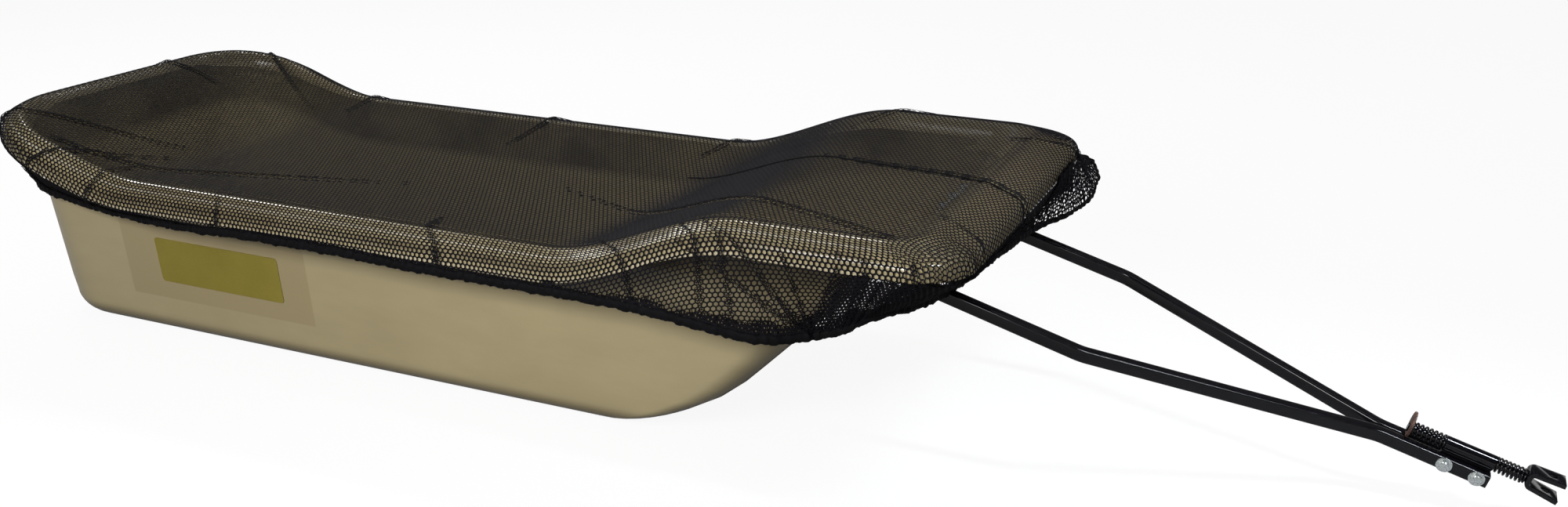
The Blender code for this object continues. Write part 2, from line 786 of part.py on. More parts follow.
def arc_points(centre, radius, start, end, steps):
    """Points of an arc, angles in degrees."""
    points = []
    for step in range(steps + 1):
        angle = math.radians(start + (end - start) * step / steps)
        points.append((centre[0] + radius * math.cos(angle), centre[1] + radius * math.sin(angle)))
    return points


def ramp_frame(side):
    """Frame on the ramp behind one arm's pivot: x down the ramp, y across, z out of the hull."""
    turn = Matrix.Rotation(math.pi - RAMP_ANGLE, 4, "Y")
    out = turn @ Vector((0, 0, 1))
    foot = Vector((PIVOT_X, side * ARM_Y, PIVOT_Z)) - out * PIVOT_OFFSET
    return Matrix.Translation(foot) @ turn


def bow_bracket(name, side):
    """Flat plate with two ears for the pivot bolt."""
    frame = ramp_frame(side)
    size = (BRACKET_HEIGHT, BRACKET_WIDTH, BRACKET_PLATE)
    item = block(name, size, (0, 0, 0), black_paint)
    item.matrix_basis = frame @ Matrix.Translation((0, 0, GAP + BRACKET_PLATE / 2))
    half = EAR_WIDTH / 2
    root = GAP + BRACKET_PLATE / 2
    outline = [(-half, root), (half, root)] + arc_points((0, PIVOT_OFFSET), half, 0, 180, 10)
    middle = TUBE / 2 + PIVOT_PLAY + BRACKET_PLATE / 2
    upright = Matrix.Rotation(math.radians(90), 4, "X")
    for way in (-1, 1):
        place = frame @ Matrix.Translation((0, way * middle, 0)) @ upright
        ear = plate(f"{name}_ear_{way}", outline, BRACKET_PLATE, black_paint, None, place)
        join(item, hide_cutter(ear))
    bore = BOLT_D / 2 + BOLT_PLAY
    centre = (PIVOT_X, side * ARM_Y, PIVOT_Z)
    cut(item, drill(name + "_bore", bore, BRACKET_WIDTH, centre, (0, 1, 0)))
    return item


def bracket_hardware(hull):
    """Brackets, backing plates inside the hull, and the bolts through all three."""
    inner = WALL + GAP
    backing = (BRACKET_HEIGHT + BACKING_MARGIN, BRACKET_WIDTH + BACKING_MARGIN, BRACKET_PLATE)
    back_z = -(inner + BRACKET_PLATE / 2)
    stack_depth = inner + BRACKET_PLATE
    hole = SMALL_BOLT_D / 2 + BOLT_PLAY
    for word, side in (("left", 1), ("right", -1)):
        frame = ramp_frame(side)
        bracket = bow_bracket(word + "_bow_bracket", side)
        back = block(word + "_backing_plate", backing, (0, 0, 0), steel)
        back.matrix_basis = frame @ Matrix.Translation((0, 0, back_z))
        places = [(down * BRACKET_BOLT_U, across * BRACKET_BOLT_Y) for down in (-1, 1) for across in (-1, 1)]
        for number, (x, y) in enumerate(places, start=1):
            axis = frame.to_3x3() @ Vector((0, 0, 1))
            cutter = drill(f"{word}_bracket_hole_{number}", hole, 6 * WALL, frame @ Vector((x, y, 0)), axis)
            for item in (bracket, back, hull):
                cut(item, cutter)
            head = frame @ Matrix.Translation((x, y, 2 * GAP + BRACKET_PLATE))
            length = 2 * GAP + BRACKET_PLATE + stack_depth + GAP + SMALL_NUT + BOLT_TAIL / 2
            bolt(f"{word}_bracket_bolt_{number}", head, SMALL_BOLT_D, length, SMALL_FLATS, SMALL_HEAD)
            flip = Matrix.Rotation(math.pi, 4, "X")
            seat = frame @ Matrix.Translation((x, y, -(stack_depth + GAP))) @ flip
            nut(f"{word}_bracket_nut_{number}", seat, SMALL_BOLT_D, SMALL_FLATS, SMALL_NUT)


def hitch_plate():
    """Plate clamped between the arms; its upper edge carries the sleeve."""
    top = ROD_Z - SLEEVE_D / 2 - GAP
    bottom = -TUBE / 2
    start = SLEEVE_START - PLATE_LEAD
    end = SLEEVE_END
    chamfer = top - TUBE / 2 + PLATE_CHAMFER
    outline = [(start, bottom), (end, bottom), (end, top), (start + chamfer, top), (start, top - chamfer)]
    upright = Matrix.Rotation(math.radians(90), 4, "X")
    item = plate("hitch_plate", outline, PLATE_THICKNESS, black_paint, bar, upright)
    radius = BOLT_D / 2 + BOLT_PLAY
    for number, place in enumerate(CLAMP_AT):
        spot = f"hitch_plate_hole_{number}"
        cut(item, drill(spot, radius, TUBE, (place, 0, 0), (0, 1, 0), bar))


def shock_sleeve():
    """Plain tube, turned from its section about the rod's axis."""
    bm = bmesh.new()
    bore = ROD_D / 2 + ROD_PLAY
    outer = SLEEVE_D / 2
    length = SLEEVE_END - SLEEVE_START
    section = [(outer, length), (outer, 0), (bore, 0), (bore, length)]
    verts = [bm.verts.new((radius, 0, z)) for radius, z in section]
    for start, end in zip(verts, verts[1:] + verts[:1]):
        bm.edges.new((start, end))
    mesh = bpy.data.meshes.new("shock_sleeve")
    bm.to_mesh(mesh)
    bm.free()
    item = add("shock_sleeve", mesh, black_paint, bar, along((1, 0, 0), (SLEEVE_START, 0, ROD_Z)))
    turn = item.modifiers.new("turn", "SCREW")
    turn.steps = SLEEVE_STEPS
    turn.render_steps = SLEEVE_STEPS
    turn.use_merge_vertices = True
    turn.merge_threshold = 0.0001


def shock_rod():
    """Rod from behind the retaining plate to the clevis."""
    start = RETAINER_AT - ROD_TAIL
    end = CLEVIS_AT - GAP
    bm = bmesh.new()
    radius = ROD_D / 2
    size = {"radius1": radius, "radius2": radius, "depth": end - start}
    bmesh.ops.create_cone(bm, cap_ends=True, segments=ROD_STEPS, **size)
    place = along((1, 0, 0), ((start + end) / 2 - RETAINER_AT, 0, 0))
    item = add("shock_rod", finish_mesh(bm, "shock_rod"), black_paint, rod_frame, place)
    bevel(item, EDGE, 1)


def rear_retainer():
    """Round plate on the rod's end. Its flat lower edge rides on the arms and keeps the rod from turning."""
    floor = TUBE / 2 + 2 * GAP - ROD_Z
    reach = math.degrees(math.asin((floor - RETAINER_LIFT) / RETAINER_RADIUS))
    outline = arc_points((0, RETAINER_LIFT), RETAINER_RADIUS, reach, 180 - reach, 24)
    stand = Matrix.Rotation(math.radians(90), 4, "Z") @ Matrix.Rotation(math.radians(90), 4, "X")
    place = Matrix.Translation((RETAINER_THICKNESS / 2, 0, 0)) @ stand
    item = plate("rear_retainer", outline, RETAINER_THICKNESS, rust, rod_frame, place)
    bore = ROD_D / 2 + GAP
    cut(item, drill("rear_retainer_hole", bore, 4 * RETAINER_THICKNESS, (0, 0, 0), (1, 0, 0), rod_frame))


def hitch_clevis():
    """Strap bent to a U, its ears splayed a little, with a hole for the hitch pin."""
    base = CLEVIS_AT - RETAINER_AT
    half = (CLEVIS_HEIGHT - STRAP) / 2
    middle = base + STRAP / 2
    tip = base + CLEVIS_LENGTH
    run = tip - middle
    upper = (tip, CLEVIS_LIFT + half + run * math.tan(UPPER_SPLAY))
    lower = (tip, CLEVIS_LIFT - half - run * math.tan(LOWER_SPLAY))
    corners = [
        (*upper, 0),
        (middle, CLEVIS_LIFT + half, 0),
        (middle, CLEVIS_LIFT - half, 0),
        (*lower, 0),
    ]
    path = fillet(corners, CLEVIS_BEND - STRAP / 2, 4)
    outside, inside = [], []
    for index, place in enumerate(path):
        before = path[max(index - 1, 0)]
        after = path[min(index + 1, len(path) - 1)]
        ahead = (after - before).normalized()
        normal = Vector((-ahead.y, ahead.x, 0))
        outside.append((place - normal * STRAP / 2)[:2])
        inside.append((place + normal * STRAP / 2)[:2])
    upright = Matrix.Rotation(math.radians(90), 4, "X")
    item = plate("hitch_clevis", outside + inside[::-1], CLEVIS_WIDTH, black_paint, rod_frame, upright)
    hole = (tip - PIN_HOLE_BACK, 0, CLEVIS_LIFT)
    cut(item, drill("pin_hole", PIN_HOLE_D / 2, 3 * CLEVIS_HEIGHT, hole, (0, 0, 1), rod_frame))


def spring_points(start, end):
    """Centre line of a spring along +X, with a straight end one wire long at each face."""
    radius = (SPRING_D - SPRING_WIRE) / 2
    tail = SPRING_WIRE
    helix_start = start + tail + SPRING_TURN_IN
    helix_end = end - tail - SPRING_TURN_IN
    count = SPRING_CURLS * POINTS_PER_CURL
    points = []
    for index in range(count + 1):
        share = index / count
        angle = math.tau * SPRING_CURLS * share
        x = helix_start + (helix_end - helix_start) * share
        points.append(Vector((x, radius * math.cos(angle), radius * math.sin(angle))))
    along_start = (points[0] - points[1]).normalized()
    along_end = (points[-1] - points[-2]).normalized()
    step = Vector((SPRING_TURN_STEP, 0, 0))
    first = points[0] + along_start * SPRING_TURN_STEP - step
    last = points[-1] + along_end * SPRING_TURN_STEP + step
    head = [Vector((start, first.y, first.z)), first]
    return head + points + [last, Vector((end, last.y, last.z))]


def least_gap(points):
    """Least gap of a spring's wire to itself, between points more than half a curl apart."""
    skip = POINTS_PER_CURL // 2
    nearest = min(
        (a - b).length for index, a in enumerate(points) for b in points[index + skip :]
    )
    return nearest - SPRING_WIRE


def spring(name, start, end):
    """Coil spring round the rod as one unbroken wire."""
    points = spring_points(start + GAP, end - GAP)
    curve = bpy.data.curves.new(name, "CURVE")
    curve.dimensions = "3D"
    curve.bevel_depth = SPRING_WIRE / 2
    curve.bevel_resolution = 1
    curve.use_fill_caps = True
    spline = curve.splines.new("POLY")
    spline.points.add(len(points) - 1)
    for point, place in zip(spline.points, points):
        point.co = (*place, 1)
    item = bpy.data.objects.new(name, curve)
    parts.objects.link(item)
    curve.materials.append(black_paint)
    item.parent = bar
    item.location = (0, 0, ROD_Z)
    print(f"{name}: {SPRING_CURLS} curls, least gap {least_gap(points) * 1000:.2f} mm")


clear_scene()
parts = collection("utility_sled")
cutters = collection("cutters")
tan = material("tan_plastic", TAN, 0.42)
olive = material("olive_label", OLIVE, 0.5)
black_paint = material("black_paint", BLACK, 0.35, 0.2)
net_black = material("net", NET_BLACK, 0.8)
black_cloth = material("hem", NET_BLACK, 0.9)
steel = material("zinc", STEEL, 0.35, 1.0)
rust = material("bare_steel", RUST, 0.7, 0.6)

bar = bpy.data.objects.new("tow_bar_axis", None)
parts.objects.link(bar)
bar.location = (PIVOT_X, 0, PIVOT_Z)
bar.rotation_euler = (0, BAR_PITCH, 0)
rod_frame = bpy.data.objects.new("shock_rod_axis", None)
parts.objects.link(rod_frame)
rod_frame.parent = bar
rod_frame.location = (RETAINER_AT, 0, ROD_Z)

hull = hull_shell()
hull_label()
bracket_hardware(hull)
pivot_hardware()
net_cover()
net_border_and_hem()
tow_arm("left_tow_arm", 1)
tow_arm("right_tow_arm", -1)
hitch_plate()
clamp_hardware()
shock_sleeve()
shock_rod()
rear_retainer()
hitch_clevis()
spring("rear_spring", RETAINER_AT + RETAINER_THICKNESS, SLEEVE_START)
spring("front_spring", SLEEVE_END, CLEVIS_AT)
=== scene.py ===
"""Looks of the utility sled: hull, knitted net cover, tow bar and sprung hitch."""
import json
import math

import bmesh
import bpy
import numpy as np
from mathutils import Matrix, Vector


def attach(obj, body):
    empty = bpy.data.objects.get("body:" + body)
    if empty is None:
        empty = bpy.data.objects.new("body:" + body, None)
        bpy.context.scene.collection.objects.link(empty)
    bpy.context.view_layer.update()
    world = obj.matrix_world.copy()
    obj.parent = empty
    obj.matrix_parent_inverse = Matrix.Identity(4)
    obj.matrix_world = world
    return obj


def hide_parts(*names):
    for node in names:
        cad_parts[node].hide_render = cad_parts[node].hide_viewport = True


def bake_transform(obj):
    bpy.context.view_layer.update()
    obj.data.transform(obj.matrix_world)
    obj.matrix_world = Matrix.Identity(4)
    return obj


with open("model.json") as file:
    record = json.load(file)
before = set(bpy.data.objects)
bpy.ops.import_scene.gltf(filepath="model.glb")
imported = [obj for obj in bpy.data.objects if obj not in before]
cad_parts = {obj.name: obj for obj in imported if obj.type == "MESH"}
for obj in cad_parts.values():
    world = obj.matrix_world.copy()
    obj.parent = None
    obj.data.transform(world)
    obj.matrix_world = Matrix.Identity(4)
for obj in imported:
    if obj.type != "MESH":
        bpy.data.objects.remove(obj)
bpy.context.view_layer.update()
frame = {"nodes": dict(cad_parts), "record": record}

# Camera: the photograph's, for an image of 2000 by 647
CAMERA_AT = (1.4168, -2.01691, 1.0293)
CAMERA_TURN = (90 - 20.11, 0, 23.85)
FOCAL_PX = 1841.59
IMAGE_WIDTH = 2000
SENSOR = 36.0
FLOOR_WHITE = 0.92        # share of plain white in the floor that the camera sees
WALL_TOP = 0.22           # height on the unit sphere where the white wall ends in mirrored light
WALL_FADE = 0.10
CEILING = 0.04            # brightness of the ceiling over it
SKY_STRENGTH = 0.24       # strength of the light from all round
FLOOR_SIZE = 14.0
FLOOR_Z = -0.0005
FLOOR_TONES = (0.12, 0.34, 0.90)  # its grey to the light, in what mirrors it and to the camera

# Hull, as in the solids
HULL_LENGTH = 1.858
WALL = 0.004
FLOOR_HALF = 0.277
SIDE_DRAFT = math.tan(math.radians(4.5))
STERN_DRAFT = math.tan(math.radians(3.0))
CHINE_RADIUS = 0.045
RAMP_START = 0.296
RAMP_RADIUS = 0.410
RAMP_ANGLE = math.radians(45)
STERN_CORNER = 0.125
BOW_CORNER = 0.055
STERN_LIP_CORNER = 0.215
BOW_LIP_CORNER = 0.080
CROWN_MID = 0.301
CROWN_BOW = 0.391
CROWN_STERN = 0.387
BOW_RISE = (0.279, 0.609)
STERN_RISE = (-0.535, -0.905)
RIM_WIDTH = 0.060
BOW_RIM_WIDTH = 0.122
RIM_ROOT = 0.050
CHANNEL_DEPTH = 0.008
CHANNEL_SPAN = (-0.72, 0.18)
CHANNEL_FADE = 0.06
CHANNEL_MIDDLE = 0.625    # share of the half floor where each channel's middle lies
CHANNEL_HALF = 0.26       # its half width and slope, as the same share
CHANNEL_SLOPE = 0.10

# Rolled rim's section: share of the width at the side, the same at the bow, height below the crown.
# It rises steeply from the wall to the crown and falls in one round sweep to the turned-down lip.
RIM_SECTION = [
    (0.000, 0.00, -RIM_ROOT),
    (0.030, 0.16, -0.0300),
    (0.090, 0.26, -0.0130),
    (0.190, 0.37, -0.0030),
    (0.300, 0.47, 0.0000),
    (0.400, 0.55, -0.0007),
    (0.450, 0.58, -0.0018),
    (0.530, 0.64, -0.0038),
    (0.700, 0.78, -0.0080),
    (0.860, 0.91, -0.0126),
    (0.945, 0.965, -0.0172),
    (0.988, 0.99, -0.0252),
    (1.000, 1.00, -0.0360),
]
LIP = len(RIM_SECTION) - 1
WALL_PLACES = 4.0         # the wall's height, counted as places below the rim's section
SLOPE_STEP = 0.05         # places before and after one at which the section's slope is taken
HULL_EDGE = 0.0012        # rounding of the lip's edges

# Steps of the fine rings round the hull, and the number of rings up it
SIDE_STEPS = 84
CORNER_STEPS = 16
END_STEPS = 32
CHINE_RINGS = 11
WALL_RINGS = 10
RIM_RINGS = 46
ROWS = 2 * CORNER_STEPS + SIDE_STEPS + 1  # rows of points across the floor
RING_COUNT = 4 * (CORNER_STEPS + 1) + 2 * (SIDE_STEPS - 1) + 2 * (END_STEPS - 1)

# Faint film round the plate: low and high end and softness on each axis, and its colour
FILM_BOX = [(-0.623, -0.2125, 0.0015), (-1.0, -0.2, 0.01), (0.0744, 0.30, 0.0015)]
FILM_TONE = (0.314, 0.254, 0.138)

# Scuffs near the ground: where they end, the noise they start at, how crisp they are, and their colour
SCUFF_TOP = 0.030
SCUFF_LEAST = 0.42
SCUFF_CRISP = 4.0
SCUFF_TONE = (0.215, 0.172, 0.095)

# Darkening along the hull's foot, the second a painted contact shadow at its very edge: where each ends,
# softness, share and colour
FOOT_TONES = [
    (0.036, 0.036, 1.0, (0.110, 0.080, 0.038)),
    # painted contact shadow along the bottom edge
    (0.009, 0.006, 0.8, (0.030, 0.020, 0.009)),
]

# Bands of painted light along the rim: painted shade under the lip, a painted highlight on the shoulder,
# painted shade on the slope and a painted highlight on the bead. Places in its section where each starts and
# ends, softness, share and colour
RIM_PAINTED_LIGHT = [
    (-0.85, 0.50, 0.35, 0.88, (0.075, 0.062, 0.034)),
    (7.50, 8.20, 0.40, 0.95, (0.740, 0.680, 0.540)),
    (8.90, 10.90, 0.50, 0.70, (0.105, 0.082, 0.042)),
    (11.30, 12.50, 0.20, 0.60, (0.620, 0.550, 0.400)),
]
# where the rim's painted highlights and shade end toward the bow, and the length over which they fade
RIM_PAINT_END = 0.86            # the bands fade before the bow
RIM_PAINT_FADE = 0.08

# Net
NET_LEAVES = 3.7          # place in the rim's section where the net leaves it inward
NET_OFF = WALL + 0.0020   # strand middle off the rim's underside
NET_SAG = 0.012
NET_HALF_SPAN = 0.800
MOUTH_HALF = 0.30
CLOTH_BOX = ((-1.12, -0.60), (1.14, 0.60))
KNIT_PAST = -0.004        # cells may reach this far past the hem
CELL = 0.0078             # pitch of the knitted holes
CELL_AREA = CELL * CELL * math.sqrt(3) / 2
HOLE_SHARE = 0.70         # size of a hole in its cell
GATHER_HOLE_SHARE = 0.60  # the same where the cloth is gathered
STRAND_CROWN = 0.0010
RIM_NET_RINGS = 30
SKIRT_RINGS = 12          # between the lip and the hem
NET_TUCK = 0.1            # share of the hem's height that the net lies over its middle
NEAREST_BATCH = 2000      # points looked up at a time

# Creases in the cloth: foot, direction inward, half width and reach, on the flat cloth.
# Across the right side's rim, fanning from the hem's lowest place, over the bow and in the mouth.
CREASES = [
    ((-0.345, -0.445), (-0.10, 1.0), 0.0060, 0.15),
    ((0.078, -0.445), (-0.12, 1.0), 0.0110, 0.20),
    ((0.398, -0.450), (-0.20, 1.0), 0.0055, 0.17),
    ((0.503, -0.460), (-0.02, 1.0), 0.0050, 0.16),
    ((0.545, -0.475), (-0.06, 1.0), 0.0045, 0.16),
    ((0.668, -0.530), (-1.30, 1.0), 0.0060, 0.26),
    ((0.668, -0.530), (-0.75, 1.0), 0.0065, 0.24),
    ((0.670, -0.530), (-0.30, 1.0), 0.0050, 0.17),
    ((0.674, -0.530), (0.25, 1.0), 0.0060, 0.16),
    ((0.735, -0.500), (0.10, 1.0), 0.0070, 0.13),
    ((0.800, -0.480), (0.30, 1.0), 0.0060, 0.12),
    ((1.045, -0.060), (-1.0, 0.22), 0.0075, 0.52),
    ((1.050, 0.245), (-1.0, -0.10), 0.0070, 0.24),
    ((1.030, -0.250), (-1.0, 0.25), 0.0055, 0.20),
    ((0.300, 0.440), (-0.15, -1.0), 0.0080, 0.24),
    ((-0.120, 0.440), (0.05, -1.0), 0.0090, 0.30),
    ((-0.560, 0.440), (0.12, -1.0), 0.0080, 0.24),
    ((0.690, 0.520), (-0.45, -1.0), 0.0080, 0.34),
    ((-0.660, -0.470), (0.35, 1.0), 0.0060, 0.24),
    ((-0.800, -0.430), (0.90, 1.0), 0.0065, 0.34),
    ((-0.900, -0.300), (1.0, 0.55), 0.0060, 0.40),
    ((-1.000, 0.120), (1.0, -0.05), 0.0070, 0.26),
    ((-0.870, 0.350), (1.0, -0.60), 0.0065, 0.36),
    ((0.780, -0.300), (-1.0, 0.42), 0.0060, 0.70),
    ((-0.700, -0.290), (1.0, 0.30), 0.0055, 0.62),
]
CREASE_FOOT = 0.05        # a crease starts this far before its foot
CREASE_START = 0.03       # and rises over this length
CREASE_PULL = 0.62        # share by which it draws the cloth beside it together
CREASE_HEIGHT = 0.0020
# Doubled layers in a crease: mirrored or not, shift in cells and lift
CREASE_LAYERS = ((-1, 0.31, 0.0011), (1, 0.57, 0.0021))
CREASE_SHRINK = 0.9       # width of such a layer
CREASE_FADE = 0.5         # share of its reach over which a crease fades out
CREASE_TAPER = 0.6        # the same for the width of its doubled layers
CREASE_WIDE = 1.5         # widths over which it draws the cloth in
CREASE_SHARP = 0.7        # widths over which the cloth stands up

# Hem, as in the solids
HEM_HEIGHT = 0.011
HEM_SIDE_DROP = 0.020
HEM_PLAY = 0.003
HEM_BOW_Z = 0.231
HEM_DIP = (0.42, 0.67)
HEM_ARM_RISE = (0.70, 0.86)
HEM_FRONT_X = 0.875
HEM_DRAW_START = 0.66
HEM_NARROW = 0.10

# The hem as it lies in the photograph where it leaves that even line: distance along the lip from the
# middle of the bow, negative on the right side, then x, y and z
HEM_AT_BOW = [
    (-0.72, 0.545, -0.366, 0.2400),
    (-0.61, 0.662, -0.360, 0.2330),
    (-0.54, 0.705, -0.322, 0.2360),
    (-0.47, 0.752, -0.312, 0.2450),
    (-0.42, 0.785, -0.320, 0.2740),
    (-0.34, 0.818, -0.295, 0.2820),
    (-0.26, 0.838, -0.240, 0.2740),
    (-0.16, 0.853, -0.160, 0.2680),
    (0.00, 0.873, 0.000, 0.2690),
    (0.16, 0.895, 0.158, 0.2695),
    (0.23, 0.942, 0.215, 0.2820),
    (0.30, 0.957, 0.285, 0.2900),
    (0.37, 0.954, 0.350, 0.3080),
    (0.43, 0.930, 0.392, 0.3300),
    (0.50, 0.850, 0.388, 0.3300),
    (0.62, 0.720, 0.374, 0.2850),
]
# The same at the stern's corners, for both sides: distance from the middle of the bow along either side
HEM_AT_STERN = [
    (1.55, -0.285, 0.366, 0.2560),
    (1.75, -0.478, 0.344, 0.2460),
    (1.90, -0.628, 0.326, 0.2460),
    (2.00, -0.712, 0.314, 0.2500),
    (2.08, -0.780, 0.305, 0.2540),
    (2.18, -0.845, 0.262, 0.2480),
    (2.26, -0.878, 0.224, 0.2620),
    (2.34, -0.893, 0.170, 0.2900),
    (2.50, -0.905, 0.000, 0.3120),
]
HEM_FADE = 0.08           # length over which the even line turns into that lie
HEM_SMOOTHING = 3         # times that each point of the line is drawn to its neighbours
HEM_RAISE = 0.0025        # the hem lies this much higher than in the solids
HEM_LIFT_AT = (-0.20, 0.28, 0.005)  # middle, half length and height of a stretch where it lies higher still
HEM_STEPS = 3200
HEM_SIDES = 14
HEM_HALF = (0.0036, 0.0074)  # half thickness and half height of its section
HEM_OUT = 0.0026          # its middle outside the hem's line
HEM_SLIM = 0.45           # share by which it thins at the left bow corner
HEM_SLIM_FROM = [(0.58, 0.14), (0.10, 0.12)]  # where that starts along x and y, and over what length
HEM_FOLLOWS_X = 0.60      # ahead of this the hem follows the tow bar

# Waves round the hem: number all round, height and phase
GATHERS = [(97, 0.0004, 0.3), (143, 0.0003, 1.7), (61, 0.0003, 2.9), (211, 0.0002, 0.9)]
RUFFLE = [(331, 0.0006, 0.2), (257, 0.0005, 1.0), (401, 0.0003, 2.2)]
DROOP = [(59, 0.0005, 0.7), (97, 0.0003, 1.9), (163, 0.0002, 0.2), (409, 0.0002, 0.9)]
FATNESS = [(89, 0.05, 0.5), (173, 0.04, 2.0), (367, 0.03, 1.2)]
FOLDS = [(331, 0.0009, 0.2), (257, 0.0008, 1.0), (401, 0.0005, 2.2)]  # in the cloth of the gathers
TALLNESS = [(31, 0.18, 0.4), (53, 0.15, 1.9), (83, 0.12, 0.7)]  # of the gathers, as a share
# Lobes of the hem's section, their height as a share, and their turns all round the hem
FRILL = [(3, 0.09, 211), (5, 0.04, -613)]

# Height of the gathers that stand over the hem, by distance from the middle of the bow
GATHER_HEIGHT = [
    (-2.50, 0.014), (-2.25, 0.032), (-2.00, 0.020), (-1.60, 0.011), (-0.95, 0.010), (-0.72, 0.018),
    (-0.62, 0.026), (-0.52, 0.045), (-0.45, 0.150), (-0.32, 0.150), (-0.22, 0.100), (-0.14, 0.040),
    (0.00, 0.012), (0.12, 0.040), (0.20, 0.190), (0.50, 0.190), (0.70, 0.015), (2.50, 0.014),
]
GATHER_RATIO = 1.55       # cloth in the gathers for each length of hem
GATHER_BAND = (-0.002, 0.190)  # low and high end of the cloth that is gathered
GATHER_OUT = 0.0018       # its middle outside the net's skirt
# Layers of the gathers: side of the sled, shift in cells, lift, and shares of that height where they lie
GATHER_LAYERS = [
    (-1, 0.00, 0.0, (0.0, 1.0)),
    (-1, 0.43, 0.0012, (0.0, 0.90)),
    (-1, 0.71, -0.0012, (0.0, 0.30)),
    (-1, 0.25, 0.0020, (0.50, 1.4)),
    (1, 0.00, 0.0, (0.0, 1.0)),
    (1, 0.43, 0.0012, (0.36, 1.0)),
    (1, 0.71, -0.0012, (0.52, 1.0)),
]
GATHER_LEAST = 0.010
GATHER_TALL = 0.080       # a layer that starts above the hem is only in gathers of at least this height
GATHER_PAST_LIP = {-1: 0.003, 1: 0.010}  # how far over the lip they may reach, by side

# Seam across the front of the net, on the flat cloth
SEAM = ((1.055, -0.075), (0.30, 0.10))
SEAM_STEPS = 260
SEAM_LIFT = 0.0016
SEAM_SHORT = 0.030        # it ends this far above the hem
SEAM_RADIUS = 0.0013
SEAM_SIDES = 8

# Panels of the net, by where a cell's middle lies, and the length of each along the sled as it lies flat
STERN_PANEL_X = -0.33
BOW_PANEL_X = 0.33
FOLLOWS_Y = 0.17          # beyond this to either side the front of the net follows the bar less and less
PANELS = {
    "net_stern": lambda at: at[:, 0] < STERN_PANEL_X,
    "net_middle": lambda at: (at[:, 0] >= STERN_PANEL_X) & (at[:, 0] < BOW_PANEL_X),
    "net_right": lambda at: (at[:, 0] >= BOW_PANEL_X) & (at[:, 1] < -FOLLOWS_Y),
    "net_front": lambda at: (at[:, 0] >= BOW_PANEL_X) & (np.abs(at[:, 1]) <= FOLLOWS_Y),
    "net_left": lambda at: (at[:, 0] >= BOW_PANEL_X) & (at[:, 1] > FOLLOWS_Y),
}
# The front of the net goes with the bar from the lip down, and less to the sides.
# Each entry: where the net still keeps to the hull, and the way to where it follows the bar.
FOLLOW = {
    "net_front": ((0.929, 0.0, 0.345), (0.0, 0.0, -12.5)),
    "net_right": ((0.929, -FOLLOWS_Y, 0.345), (10.0, 4.2, -22.0)),
    "net_left": ((0.929, FOLLOWS_Y, 0.345), (0.0, -4.2, -13.0)),
}

# Tow bar, as in the solids, along the bar from the pivot
TUBE = 0.01905
TUBE_WALL = 0.0021
TUBE_CORNER = 0.0032      # a little rounder than the solids'
PIVOT = Vector((0.7761, 0.0, 0.2818))
BAR_PITCH = math.radians(15.83)
ARM_Y = 0.1615
REAR_BEND = 0.285
FRONT_BEND = 0.695
BAR_LENGTH = 0.848
BEND_RADIUS = 0.055
BEND_STEPS = 14
ARM_TAIL = 0.011
PLATE_THICKNESS = 0.0040
GAP = 0.0003
ARM_FRONT_Y = PLATE_THICKNESS / 2 + GAP + TUBE / 2
CLAMP_AT = (0.788, 0.8325)
BOLT_D = 0.0079
HEAD_FLATS = 0.0127
HEAD_HEIGHT = 0.0053
NUT_HEIGHT = 0.0068
HEAD_STRAIGHT = 0.82      # share of the head's height below its rounded top
HEAD_ROUND = [(0.93, 0.93), (1.0, 0.84)]  # shares of its height and of its corners' reach over that
NUT_CHAMFER = (0.90, 0.88)  # share of its corners' reach on the nut's seat and on its outer face
NUT_SEAT = 0.0006         # height of the chamfer at its seat
WASHER_D = 0.0216
WASHER_THICKNESS = 0.0018
BOLT_TAIL = 0.004
BOLT_PLAY = 0.0002
BOLT_EDGE = 0.0008
WASHER_EDGE = 0.0005
ROD_D = 0.0127
SLEEVE_D = 0.0222
SLEEVE_SPAN = (0.779, 0.848)
SLEEVE_PLAY = 0.0005
SLEEVE_EDGE = 0.0007
PLATE_BEHIND = 0.004      # the plate starts this far behind the sleeve
ROD_Z = 0.0220
RETAINER_AT = 0.7285
RETAINER_THICKNESS = 0.003
RETAINER_RADIUS = 0.019
RETAINER_LIFT = 0.006
ROD_TAIL = 0.002
ROD_EDGE = 0.001
# Weld bead on the rod: distance back from the clevis and height
WELD_BEAD = [(0.0045, 0.0), (0.0030, 0.0006), (0.0016, 0.0019), (0.0, 0.0030)]
CLEVIS_AT = 0.889
SPRING_WIRE = 0.003
SPRING_TURNS = 7.6
SPRING_FLAT = 0.4         # share of a turn that lies flat against each end
SPRING_STEP = 1 / 30
SPRING_D = 2 * (ROD_Z - TUBE / 2 - 0.0010)
STRAP = 0.00635
CLEVIS_WIDTH = 0.03175
CLEVIS_HEIGHT = 0.0256
CLEVIS_LIFT = 0.0031
CLEVIS_LENGTH = 0.047
CLEVIS_BEND = 0.009
UPPER_SPLAY = math.radians(2.5)
LOWER_SPLAY = math.radians(7.5)
PIN_HOLE_D = 0.0130
PIN_HOLE_BACK = 0.0170

# Roundings of edges, and steps round a turn, of the pieces of the hitch
PLATE_EDGE = 0.0004
RETAINER_EDGE = 0.0005
CLEVIS_EDGE = 0.0007
BOLT_STEPS = 48
ROD_STEPS = 48
WASHER_STEPS = 56
SLEEVE_STEPS = 64
RETAINER_STEPS = 64
CLEVIS_BEND_STEPS = 12
CUTTER_STEPS = 40
WIRE_SIDES = 12


# Camera, floor and light

def link_object(name, data):
    item = bpy.data.objects.new(name, data)
    bpy.context.scene.collection.objects.link(item)
    return item


